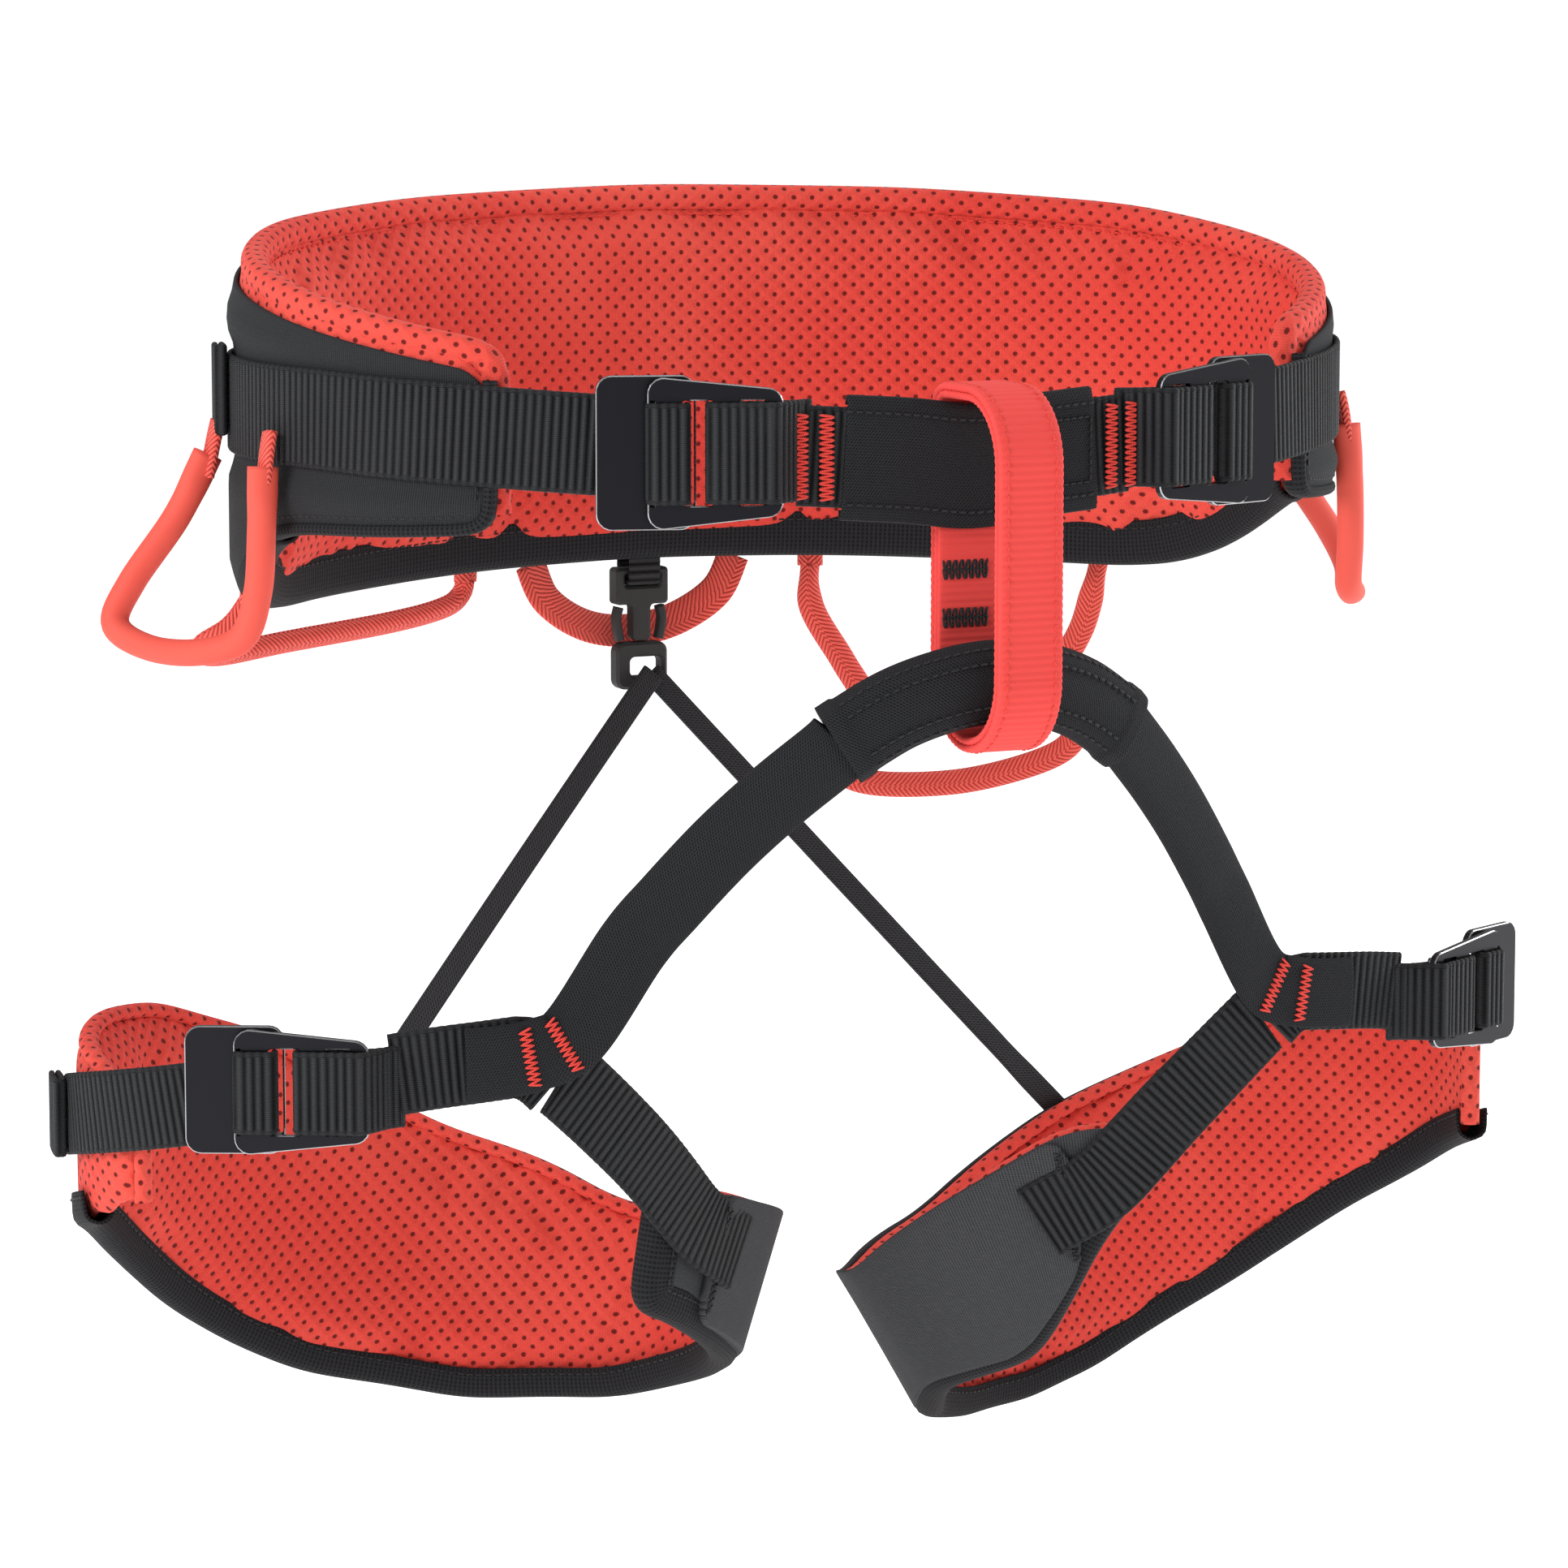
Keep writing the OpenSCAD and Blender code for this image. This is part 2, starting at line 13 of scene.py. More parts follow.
import bmesh
import bpy
import numpy as np
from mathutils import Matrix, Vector

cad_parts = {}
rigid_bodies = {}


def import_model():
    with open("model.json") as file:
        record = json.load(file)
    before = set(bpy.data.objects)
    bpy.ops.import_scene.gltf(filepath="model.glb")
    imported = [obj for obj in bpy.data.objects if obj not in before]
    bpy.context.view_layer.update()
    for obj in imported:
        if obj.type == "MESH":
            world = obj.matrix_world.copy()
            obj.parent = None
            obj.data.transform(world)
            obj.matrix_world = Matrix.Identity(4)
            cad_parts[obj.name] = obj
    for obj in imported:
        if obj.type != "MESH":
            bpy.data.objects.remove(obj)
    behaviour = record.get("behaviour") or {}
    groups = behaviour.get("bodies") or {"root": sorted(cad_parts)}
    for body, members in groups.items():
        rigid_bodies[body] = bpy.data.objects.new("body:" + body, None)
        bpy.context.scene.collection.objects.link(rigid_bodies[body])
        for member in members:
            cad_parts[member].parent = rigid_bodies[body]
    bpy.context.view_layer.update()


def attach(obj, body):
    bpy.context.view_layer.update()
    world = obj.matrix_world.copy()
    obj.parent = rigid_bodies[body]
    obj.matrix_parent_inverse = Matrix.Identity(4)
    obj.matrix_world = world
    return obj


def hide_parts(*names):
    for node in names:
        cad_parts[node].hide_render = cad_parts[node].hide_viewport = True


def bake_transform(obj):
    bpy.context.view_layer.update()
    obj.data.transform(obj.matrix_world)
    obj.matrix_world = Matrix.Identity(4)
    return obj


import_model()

LOG = logging.getLogger("harness")
MM = 0.001
Array = np.ndarray
Colour = tuple[float, float, float]
ACROSS = np.array([1.0, 0, 0])
FORWARD = np.array([0, -1.0, 0])
UP = np.array([0, 0, 1.0])
WEB_T = 1.8
WEB_FOLDED_T = 1.7
WEB_STEP = 0.65
WEB_RIB = 0.42
WELD = 0.00002


# ---------------------------------------------------------------------------------------------- shapes


class Side(Enum):
    """Which side of the harness a piece is on."""

    RIGHT = 1
    LEFT = -1

    @property
    def word(self) -> str:
        """The side's name as the CAD nodes spell it."""
        return self.name.lower()


@dataclass
class Patch:
    """A closed or open surface: points (n, 3), quads (k, 4) and a UV per quad corner (k, 4, 2), in mm."""

    points: Array
    quads: Array
    uv: Array

    def mirrored(self, side: Side) -> "Patch":
        """The patch itself, or its mirror image in X for the left side."""
        if side is Side.RIGHT:
            return self
        return Patch(self.points * [-1.0, 1.0, 1.0], self.quads[:, ::-1], self.uv[:, ::-1])

    def outwards(self) -> "Patch":
        """The patch with its faces pointing out, which the sign of the volume they enclose tells."""
        centred = self.points - self.points.mean(0)
        a, b, c, d = (centred[self.quads[:, i]] for i in range(4))
        volume = np.einsum("ij,ij->", a, np.cross(b, c)) + np.einsum("ij,ij->", a, np.cross(c, d))
        return self if volume > 0 else Patch(self.points, self.quads[:, ::-1], self.uv[:, ::-1])


def grid(points: Array, uv: Array, wrap_rows: bool = False, wrap_columns: bool = True,
         caps: bool = True) -> Patch:
    """Joins a grid of points into quads.

    Args:
        points: (rows, columns, 3) in mm.
        uv: (rows + 1 if wrapped, columns + 1 if wrapped, 2), so that the seam has both of its values.
        wrap_rows: joins the last row to the first.
        wrap_columns: joins the last column to the first.
        caps: closes the first and last row with strips of quads across an even section.

    Returns:
        The patch, with its faces pointing outwards.
    """
    n, m = points.shape[:2]
    rows, columns = (n if wrap_rows else n - 1), (m if wrap_columns else m - 1)
    i, j = (g.ravel() for g in np.meshgrid(np.arange(rows), np.arange(columns), indexing="ij"))
    corners = [(i, j), (i, j + 1), (i + 1, j + 1), (i + 1, j)]
    quads = np.stack([(a % n) * m + b % m for a, b in corners], 1)
    uvs = np.stack([uv[a, b] for a, b in corners], 1)
    if caps and not wrap_rows and wrap_columns:
        k = np.arange(m // 2 - 1)
        start = np.stack([k + 1, k, m - 1 - k, m - 2 - k], 1)
        end = np.stack([k, k + 1, m - 2 - k, m - 1 - k], 1)
        quads = np.concatenate([quads, start, end + (n - 1) * m])
        uvs = np.concatenate([uvs, uv[0][start], uv[n - 1][end]])
    return Patch(points.reshape(-1, 3), quads, uvs).outwards()


@dataclass(frozen=True)
class Section:
    """A closed outline across a strap, in mm, and the pattern's place on it, with one value more."""

    across: Array
    lift: Array
    pattern: Array


def flat_section(width: float, thick: float, flats: int = 7, arc: int = 3) -> Section:
    """Outline of webbing: two straight sides joined by half circles.

    Args:
        width: the whole width.
        thick: the whole thickness.
        flats: points along each straight side.
        arc: points round each edge.

    Returns:
        The section.
    """
    r = thick / 2
    run = np.linspace(-1, 1, flats) * (width / 2 - r)
    turn = np.linspace(90, -90, arc + 2)[1:-1]
    across = np.concatenate([run, width / 2 - r + r * np.cos(np.radians(turn)), run[::-1],
                             -(width / 2 - r) - r * np.cos(np.radians(turn[::-1]))])
    lift = np.concatenate([np.full(flats, r), r * np.sin(np.radians(turn)), np.full(flats, -r),
                           r * np.sin(np.radians(turn[::-1]))])
    return Section(across, lift, np.append(across, across[0]))


def oval_section(width: float, thick: float, sides: int = 24, power: float = 2.0) -> Section:
    """Outline of a tube: a super-ellipse, whose pattern runs round it as a length.

    Args:
        width: the size across the path.
        thick: the size along the outward direction.
        sides: number of points, even.
        power: 2 is an ellipse, more is squarer.

    Returns:
        The section.
    """
    turn = np.linspace(0, 2 * np.pi, sides, endpoint=False)
    c, s = np.cos(turn), np.sin(turn)
    across = width / 2 * np.sign(c) * np.abs(c) ** (2 / power)
    lift = thick / 2 * np.sign(s) * np.abs(s) ** (2 / power)
    loop = np.stack([np.append(across, across[0]), np.append(lift, lift[0])], 1)
    length = np.concatenate([[0], np.cumsum(np.linalg.norm(np.diff(loop, axis=0), axis=1))])
    return Section(across, lift, length)


def thick_line(line: Sequence[tuple[float, float]], thick: float) -> Section:
    """Outline of a folded tape: a bent line given thickness, out along one side and back along the other.

    Args:
        line: (across, lift) of the tape's outer face.
        thick: how far its inner face lies to the left of the line's direction.

    Returns:
        The section.
    """
    outer = np.array(line, float)
    d = np.gradient(outer, axis=0)
    d /= np.linalg.norm(d, axis=1, keepdims=True)
    inner = outer + thick * np.stack([-d[:, 1], d[:, 0]], 1)
    loop = np.concatenate([outer, inner[::-1]])
    run = np.concatenate([[0], np.cumsum(np.linalg.norm(np.diff(outer, axis=0), axis=1))])
    return Section(loop[:, 0], loop[:, 1], np.concatenate([run, run[::-1], run[:1]]))


def run_length(path: Array, closed: bool = False) -> Array:
    """Length along a path at each of its points, and once more at its end where it is closed."""
    ring = np.concatenate([path, path[:1]]) if closed else path
    return np.concatenate([[0], np.cumsum(np.linalg.norm(np.diff(ring, axis=0), axis=1))])


def unit(v: Array) -> Array:
    """Vectors scaled to length one."""
    return v / np.maximum(np.linalg.norm(v, axis=-1, keepdims=True), 1e-9)


def tangents(path: Array, closed: bool = False) -> Array:
    """Unit direction of a path at each point: the difference of the points on either side."""
    if closed:
        return unit(np.roll(path, -1, 0) - np.roll(path, 1, 0))
    return unit(np.gradient(path, axis=0))


def spline(points: Sequence[Sequence[float]], step: float = 2.0) -> Array:
    """Catmull-Rom curve through points: each span blends its four nearest points by cubic weights.

    Args:
        points: the points it passes through.
        step: about how far apart the curve's points are.

    Returns:
        Evenly spaced points on the curve.
    """
    p = np.array(points, float)
    ends = np.concatenate([p[:1], p, p[-1:]])
    u = np.linspace(0, 1, 24, endpoint=False)[None, :, None]
    a, b, c, d = (ends[i:len(p) - 1 + i][:, None] for i in range(4))
    curve = 0.5 * (2 * b + (c - a) * u + (2 * a - 5 * b + 4 * c - d) * u ** 2
                   + (3 * b - a - 3 * c + d) * u ** 3)
    return evenly(np.concatenate([curve.reshape(-1, 3), p[-1:]]), step)


def evenly(path: Array, step: float) -> Array:
    """A path's points moved to even spacing: each coordinate is read off at equal lengths along it.

    Args:
        path: (n, 3) points.
        step: about how far apart they become.

    Returns:
        The new points.
    """
    run = run_length(path)
    at = np.linspace(0, run[-1], max(4, int(round(run[-1] / step)) + 1))
    return np.stack([np.interp(at, run, path[:, i]) for i in range(3)], 1)


def soften(values: Array, reach: int, closed: bool = False) -> Array:
    """Moving average.

    Args:
        values: one sample or point for each row.
        reach: samples averaged on either side.
        closed: the rows run round a loop, and otherwise the ends are held.

    Returns:
        The softened values.
    """
    padded = np.pad(values, [(reach, reach)] + [(0, 0)] * (values.ndim - 1),
                    mode="wrap" if closed else "edge")
    kernel = np.hanning(2 * reach + 3)[1:-1]
    kernel /= kernel.sum()
    return np.apply_along_axis(lambda v: np.convolve(v, kernel, "valid"), 0, padded)


def ease(x: Array, low: float, high: float) -> Array:
    """Smooth step from 0 at low to 1 at high: 3u^2 - 2u^3."""
    u = np.clip((x - low) / (high - low), 0, 1)
    return u * u * (3 - 2 * u)


def sweep(path: Array, out: Array, section: Section, closed: bool = False, rib: float = 0.0,
          pitch: float = 2.6,
          grow: Array | None = None, flatten: Array | None = None) -> Patch:
    """Carries a section along a path.

    A point is the path's point, plus across times the side direction (direction of travel x outward), plus
    lift times the outward direction. Ribs swell the lift by the absolute cosine of pi length / pitch.

    Args:
        path: (n, 3) points.
        out: (n, 3) outward directions, made square to the path here.
        section: the outline carried.
        closed: the path is a loop.
        rib: depth of the cross ribs, as a share of the thickness.
        pitch: distance between ribs.
        grow: optional factor on the section at each point.
        flatten: optional further factor on its lift alone.

    Returns:
        The surface, closed at its ends.
    """
    along = tangents(path, closed)
    out = unit(out - along * np.sum(out * along, 1, keepdims=True))
    side = np.cross(along, out)
    u = run_length(path, closed)
    wave = np.abs(np.cos(np.pi * u[:len(path)] / pitch)) - 0.6
    size = np.ones(len(path)) if grow is None else grow
    lift = section.lift[None] * (size * (1 + rib * wave) * (1.0 if flatten is None else flatten))[:, None]
    across = section.across[None] * (size * (1 + 0.012 * np.sign(rib) * wave))[:, None]
    points = path[:, None] + side[:, None] * across[..., None] + out[:, None] * lift[..., None]
    uv = np.stack(np.broadcast_arrays(u[:, None], section.pattern[None]), -1)
    return grid(points, uv, wrap_rows=closed)


def stitches(path: Array, out: Array, pitch: float = 3.0, length: float = 2.2, width: float = 0.7,
             height: float = 0.45, lean: float = 0.0) -> Patch:
    """A row of sewn threads: one small closed bead per stitch, long along the path.

    A bead is four rings of six points whose radius follows a dome, turned to the path's own directions.

    Args:
        path: (n, 3) the seam's line on the cloth.
        out: (n, 3) outward directions.
        pitch: distance between stitches.
        length: length of a stitch.
        width: its width.
        height: how far it stands proud, half of its thickness.
        lean: degrees that stitches turn from the seam's line, each the other way from the last.

    Returns:
        The beads as one patch.
    """
    run = run_length(path)
    at = np.arange(pitch / 2, run[-1], pitch)
    place = np.stack([np.interp(at, run, path[:, i]) for i in range(3)], 1)
    n = unit(np.stack([np.interp(at, run, out[:, i]) for i in range(3)], 1))
    t = np.stack([np.interp(at, run, tangents(path)[:, i]) for i in range(3)], 1)
    t = unit(t - n * np.sum(t * n, 1, keepdims=True))
    s = np.cross(n, t)
    turn = np.radians(lean) * np.where(np.arange(len(at)) % 2, 1, -1)[:, None]
    t, s = t * np.cos(turn) + s * np.sin(turn), s * np.cos(turn) - t * np.sin(turn)
    x = np.array([-1, -0.65, 0.65, 1]) * length / 2
    r = np.array([0.35, 1, 1, 0.35])
    around = np.arange(6) * np.pi / 3
    bead = np.stack(np.broadcast_arrays(x[:, None], (r[:, None] * np.cos(around)) * width / 2,
                                        (r[:, None] * np.sin(around)) * height), -1)
    uv = np.zeros((4, 7, 2))
    uv[..., 0], uv[..., 1] = x[:, None], np.arange(7)
    one = grid(bead, uv)
    points = (place[:, None] + one.points[None, :, :1] * t[:, None] + one.points[None, :, 1:2] * s[:, None]
              + one.points[None, :, 2:] * n[:, None])
    shift = (np.arange(len(at)) * len(one.points))[:, None, None]
    uvs = np.repeat(one.uv[None], len(at), 0) + np.array([1.0, 0.0]) * at[:, None, None, None]
    return Patch(points.reshape(-1, 3), (one.quads[None] + shift).reshape(-1, 4), uvs.reshape(-1, 4, 2))


def rounded_outline(corners: Sequence[Sequence[float]], radius: float, arc: int = 6) -> Array:
    """Flat outline with rounded corners: each corner becomes an arc that touches both of its sides.

    Args:
        corners: (x, y) of each corner, anticlockwise.
        radius: the corners' radius.
        arc: points in each arc.

    Returns:
        (n, 2) points.
    """
    p = np.array(corners, float)
    before, after = unit(np.roll(p, 1, 0) - p), unit(np.roll(p, -1, 0) - p)
    half = np.arccos(np.clip(np.sum(before * after, 1), -1, 1)) / 2
    centre = p + unit(before + after) * (radius / np.sin(half))[:, None]
    first = p + before * (radius / np.tan(half))[:, None] - centre
    last = p + after * (radius / np.tan(half))[:, None] - centre
    u = np.linspace(0, 1, arc)[None, :, None]
    swing = unit(first[:, None] * (1 - u) + last[:, None] * u) * radius
    return (centre[:, None] + swing).reshape(-1, 2)


@dataclass(frozen=True)
class Ring:
    """The plan ellipse of a belt: half axes, centre, and its lean along X by angle and height."""

    a: float
    b: float
    x: float = 0.0
    y: float = 0.0
    z: float = 0.0
    lean: Callable[[Array, Array], Array] | None = None

    def outward(self, t: Array) -> Array:
        """Unit direction square to the ellipse at angle t in degrees, level."""
        s, c = np.sin(np.radians(t)), np.cos(np.radians(t))
        return unit(np.stack([self.b * s, -self.a * c, np.zeros_like(s)], -1))

    def at(self, t: Array, o: Array, z: Array) -> Array:
        """Points at angle t, o outside the ellipse and z above the belt's level."""
        t, o, z = np.broadcast_arrays(np.asarray(t, float), o, z)
        s, c = np.sin(np.radians(t)), np.cos(np.radians(t))
        shift = self.lean(t, z) if self.lean is not None else 0.0
        base = np.stack([self.x + self.a * s + shift, self.y - self.b * c, self.z + z], -1)
        return base + self.outward(t) * o[..., None]

    def _table(self) -> tuple[Array, Array]:
        """Angles, and the length along the ellipse from the first of them."""
        t = np.linspace(-120, 480, 6001)
        s, c = np.sin(np.radians(t)), np.cos(np.radians(t))
        return t, run_length(np.stack([self.a * s, -self.b * c, 0.0 * t], -1))

    def arc(self, t: Array) -> Array:
        """Length along the ellipse from the front centre to angle t."""
        angles, run = self._table()
        return np.interp(t, angles, run) - np.interp(0.0, angles, run)

    def spaced(self, t0: float, t1: float, step: float) -> Array:
        """Angles from t0 to t1 that are evenly spaced along the ellipse."""
        angles, run = self._table()
        r0, r1 = np.interp([t0, t1], angles, run)
        return np.interp(np.linspace(r0, r1, max(3, int(abs(r1 - r0) / step) + 1)), run, angles)

    def angle(self, run: Array) -> Array:
        """Angle at a length along the ellipse from the front centre."""
        angles, table = self._table()
        return np.interp(run + np.interp(0.0, angles, table), table, angles)

    def spot(self, t: float, z: float) -> tuple[Array, Array, Array]:
        """Centre, direction away from the front centre, and outward direction at one place on the belt."""
        n = self.outward(np.array(t))
        return self.at(t, 0.0, z), np.array([-n[1], n[0], 0.0]), n


def fold(t: Array) -> Array:
    """Angle on the right half that a symmetric belt has the same height at."""
    return np.where(t > 180, 360 - t, np.abs(t))


def reader(rows: Sequence[Sequence[float]], symmetric: bool = True, blur: float = 5.0) -> Callable[[Array],
                                                                                                   Array]:
    """A softened table: the mean of the straight-line readings at nine angles up to blur either side.

    Args:
        rows: (angle, value) rows.
        symmetric: the angle is folded onto the right half first.
        blur: how far the corners of the table are softened, in degrees.

    Returns:
        A function from angles to values.
    """
    table = np.array(rows, float)
    shifts = np.linspace(-blur, blur, 9)

    def read(t: Array) -> Array:
        """Value at angle t."""
        many = [np.interp(fold(t + s) if symmetric else t + s, table[:, 0], table[:, 1]) for s in shifts]
        return np.mean(many, axis=0)

    return read


def corner_inset(d: Array, r: float) -> Array:
    """How far an edge draws in at distance d from a rounded end of radius r: r - sqrt(r^2 - (r - d)^2)."""
    return r - np.sqrt(np.maximum(r * r - np.clip(r - d, 0, r) ** 2, 0))


# -------------------------------------------------------------------------------------------- finishes


class Wire:
    """One number in a material, with arithmetic: an expression on wires adds its Math nodes."""

    def __init__(self, paint: "Paint", socket: bpy.types.NodeSocket) -> None:
        """Keeps the socket and the material it belongs to."""
        self.paint, self.socket = paint, socket

    def do(self, operation: str, *others: "Wire | float") -> "Wire":
        """The result of one Math operation on this and the others."""
        return self.paint.maths(operation, self, *others)

    def __add__(self, o: "Wire | float") -> "Wire":
        """Sum."""
        return self.do("ADD", o)

    def __sub__(self, o: "Wire | float") -> "Wire":
        """Difference."""
        return self.do("SUBTRACT", o)

    def __mul__(self, o: "Wire | float") -> "Wire":
        """Product."""
        return self.do("MULTIPLY", o)

    def __truediv__(self, o: "Wire | float") -> "Wire":
        """Quotient."""
        return self.do("DIVIDE", o)

    def __rsub__(self, o: float) -> "Wire":
        """A number less this."""
        return self.paint.maths("SUBTRACT", o, self)

    __radd__, __rmul__ = __add__, __mul__

    def size(self) -> "Wire":
        """Absolute value."""
        return self.do("ABSOLUTE")

    def least(self, o: "Wire | float") -> "Wire":
        """The smaller of two."""
        return self.do("MINIMUM", o)

    def most(self, o: "Wire | float") -> "Wire":
        """The larger of two."""
        return self.do("MAXIMUM", o)

    def wave(self, pitch: float, shift: "Wire | float" = 0.0) -> "Wire":
        """Rounded ridges from 0 to 1, one per pitch: the absolute sine."""
        return (self * (math.pi / pitch) + shift).do("SINE").size()

    def centred(self, pitch: float) -> "Wire":
        """Distance from the nearest middle of repeating cells, signed, in the same unit."""
        return ((self * (1 / pitch)).do("FRACT") - 0.5) * pitch

    def step(self, low: float, high: float) -> "Wire":
        """Smooth step from 0 at low to 1 at high."""
        node = self.paint.node("ShaderNodeMapRange", {"interpolation_type": "SMOOTHSTEP"},
                               {"Value": self, "From Min": low, "From Max": high})
        return Wire(self.paint, node.outputs["Result"])


class Paint:
    """A material being put together."""

    def __init__(self, name: str) -> None:
        """Starts an empty material with one output and one surface shader."""
        self.material = bpy.data.materials.new(name)
        self.material.use_nodes = True
        self.tree = self.material.node_tree
        self.tree.nodes.clear()
        self.out = self.node("ShaderNodeOutputMaterial")
        self.shader = self.node("ShaderNodeBsdfPrincipled")
        self.tree.links.new(self.shader.outputs[0], self.out.inputs[0])

    def node(self, kind: str, settings: dict | None = None, values: dict | None = None) -> bpy.types.Node:
        """Adds one node.

        Args:
            kind: the node's type.
            settings: its own settings, set first.
            values: numbers, colours, wires or sockets for its inputs, by name or place.

        Returns:
            The node.
        """
        made = self.tree.nodes.new(kind)
        for key, value in (settings or {}).items():
            setattr(made, key, value)
        self.feed(made, values or {})
        return made

    def feed(self, node: bpy.types.Node, values: dict) -> None:
        """Links a node's inputs to wires or sockets, or sets them to plain values.

        Args:
            node: the node.
            values: what goes into its inputs, by name or place.
        """
        for key, value in values.items():
            value = value.socket if isinstance(value, Wire) else value
            if isinstance(value, bpy.types.NodeSocket):
                self.tree.links.new(value, node.inputs[key])
            else:
                node.inputs[key].default_value = value

    def maths(self, operation: str, *values: Wire | float) -> Wire:
        """A Math node on wires and numbers."""
        node = self.node("ShaderNodeMath", {"operation": operation}, dict(enumerate(values)))
        return Wire(self, node.outputs[0])

    def cloth(self) -> tuple[Wire, Wire]:
        """Length along the piece and place across it, in mm, from its own UV map."""
        source = self.node("ShaderNodeUVMap", {"uv_map": "cloth"}).outputs[0]
        parts = self.node("ShaderNodeSeparateXYZ", None, {0: source})
        return Wire(self, parts.outputs[0]), Wire(self, parts.outputs[1])

    def noise(self, scale: float, detail: float = 2.0, stretch: Sequence[float] = (1, 1, 1),
              own: bool = False) -> Wire:
        """Seeded noise from 0 to 1.

        Args:
            scale: cells per metre, or per mm where own is set.
            detail: octaves.
            stretch: factor on each axis, which makes streaks.
            own: reads the piece's own UV map, not Object coordinates.

        Returns:
            The noise's value.
        """
        source = (self.node("ShaderNodeUVMap", {"uv_map": "cloth"}).outputs[0] if own
                  else self.node("ShaderNodeTexCoord").outputs["Object"])
        place = self.node("ShaderNodeMapping", None, {"Vector": source, "Scale": tuple(stretch)})
        node = self.node("ShaderNodeTexNoise", None, {"Vector": place.outputs[0], "Scale": scale,
                                                      "Detail": detail})
        return Wire(self, node.outputs[0])

    def mix(self, share: Wire | float, a: "Colour | bpy.types.NodeSocket",
            b: "Colour | bpy.types.NodeSocket") -> bpy.types.NodeSocket:
        """Colour a turned into colour b by share."""
        fill = [c if isinstance(c, bpy.types.NodeSocket) else (*c, 1.0) for c in (a, b)]
        return self.node("ShaderNodeMix", {"data_type": "RGBA"}, {0: share, 6: fill[0],
                                                                  7: fill[1]}).outputs[2]

    def bump(self, height: Wire, depth: float, under: bpy.types.Node | None = None) -> bpy.types.Node:
        """A bump of that depth in mm, on top of another one where given."""
        values = {"Height": height, "Distance": depth * MM, "Strength": 1.0}
        if under is not None:
            values["Normal"] = under.outputs[0]
        return self.node("ShaderNodeBump", None, values)

    def done(self, colour: "Colour | bpy.types.NodeSocket", rough: Wire | float,
             relief: bpy.types.Node | None = None,
             **fixed: float | tuple) -> bpy.types.Material:
        """Sets the surface shader and returns the material.

        Args:
            colour: base colour.
            rough: roughness.
            relief: the bump node.
            fixed: other shader sockets, with _ for spaces, as plain numbers.

        Returns:
            The material.
        """
        base = colour if isinstance(colour, bpy.types.NodeSocket) else (*colour, 1.0)
        values: dict = {"Base Color": base, "Roughness": rough}
        values.update({key.replace("_", " "): value for key, value in fixed.items()})
        if relief is not None:
            values["Normal"] = relief.outputs[0]
        self.feed(self.shader, values)
        return self.material


@dataclass(frozen=True)
class SpacerMesh:
    """Red knitted mesh: staggered holes over a foam core, painted dark red inside as painted shade, with a
    fine knit between them.
    """

    name: str
    yarn: Colour
    # The hole colour below is a dark red, painted in the holes as painted shade.
    deep: Colour
    along: float = 6.2
    across: float = 5.6
    hole: float = 0.8

    def material(self) -> bpy.types.Material:
        """Distance to two lattices, half a cell apart, cuts the holes and rounds their rims."""
        p = Paint(self.name)
        u, v = p.cloth()
        wander = (p.noise(260, 1) - 0.5) * 0.5
        u, v = u + wander, v - wander
        gaps = []
        for shift in (0.0, 0.5):
            x = (u + shift * self.along).centred(self.along)
            y = (v + shift * self.across).centred(self.across)
            gaps.append((x * x + y * y * 1.15).do("SQRT"))
        near = gaps[0].least(gaps[1])
        solid = near.step(self.hole * 0.62, self.hole * 1.25)
        dome = near.step(self.hole * 0.7, 2.7)
        knit = u.wave(0.62) * 0.5 + v.wave(0.5, u * 2.4) * 0.5
        fuzz = p.noise(1500, 3)
        tone = p.noise(14, 2)
        # Partly painted shade: the knit is darker where its strands dip, by the same waves as its bump; the
        # fuzz noise adds random fibre tone.
        body = p.mix((knit * 0.55 + fuzz * 0.45).step(0.2, 0.75), tuple(0.66 * c for c in self.yarn),
                     self.yarn)
        body = p.mix(tone.step(0.35, 0.75) * 0.22, body, (0.93, 0.17, 0.12))
        relief = p.bump(knit * 0.35 + fuzz * 0.2, 0.16, p.bump(dome * 0.55 + solid * 0.45, 0.7))
        # Painted shade: the holes are filled with the dark red shade colour.
        return p.done(p.mix(solid, self.deep, body), 0.72 + 0.15 * (1 - knit), relief,
                      Sheen_Weight=0.05, Sheen_Roughness=0.4, Specular_IOR_Level=0.2)


@dataclass(frozen=True)
class Webbing:
    """Ribbed load webbing: rounded cross ribs of twisted yarn, with plain selvedges, painted with a highlight
    on the rib crests and with shade in the gaps.
    """

    name: str
    # The yarn colour is the painted shade in the gaps between ribs; the light colour is the painted highlight
    # on the rib crests, and also lightens the selvedges and random patches.
    yarn: Colour
    light: Colour
    width: float
    pitch: float = 2.6
    rough: float = 0.55
    sheen: float = 0.02

    def material(self) -> bpy.types.Material:
        """Ribs of an absolute cosine, broken up by slanted yarn and smoothed out at both selvedges."""
        p = Paint(self.name)
        u, v = p.cloth()
        rib = (u + self.pitch / 2).wave(self.pitch)
        yarn = v.wave(0.62, u * (1.3 / self.pitch))
        edge = v.size().step(self.width / 2 - 1.7, self.width / 2 - 1.0)
        fuzz = p.noise(2200, 2)
        cord = rib * (1 - edge * 0.55)
        weave = cord * 0.78 + yarn * 0.14 + fuzz * 0.08
        # Painted shade and highlight: the rib gaps take the yarn colour and the rib crests the light colour.
        body = p.mix(weave.step(0.22, 1.0), self.yarn, self.light)
        body = p.mix(edge * 0.35 + p.noise(45, 3).step(0.4, 0.8) * 0.25, body, self.light)
        relief = p.bump(yarn * 0.7 + fuzz * 0.5, 0.2, p.bump(cord, 0.6))
        return p.done(body, self.rough + 0.2 * (1 - rib), relief,
                      Sheen_Weight=self.sheen, Sheen_Roughness=0.4, Specular_IOR_Level=0.16)


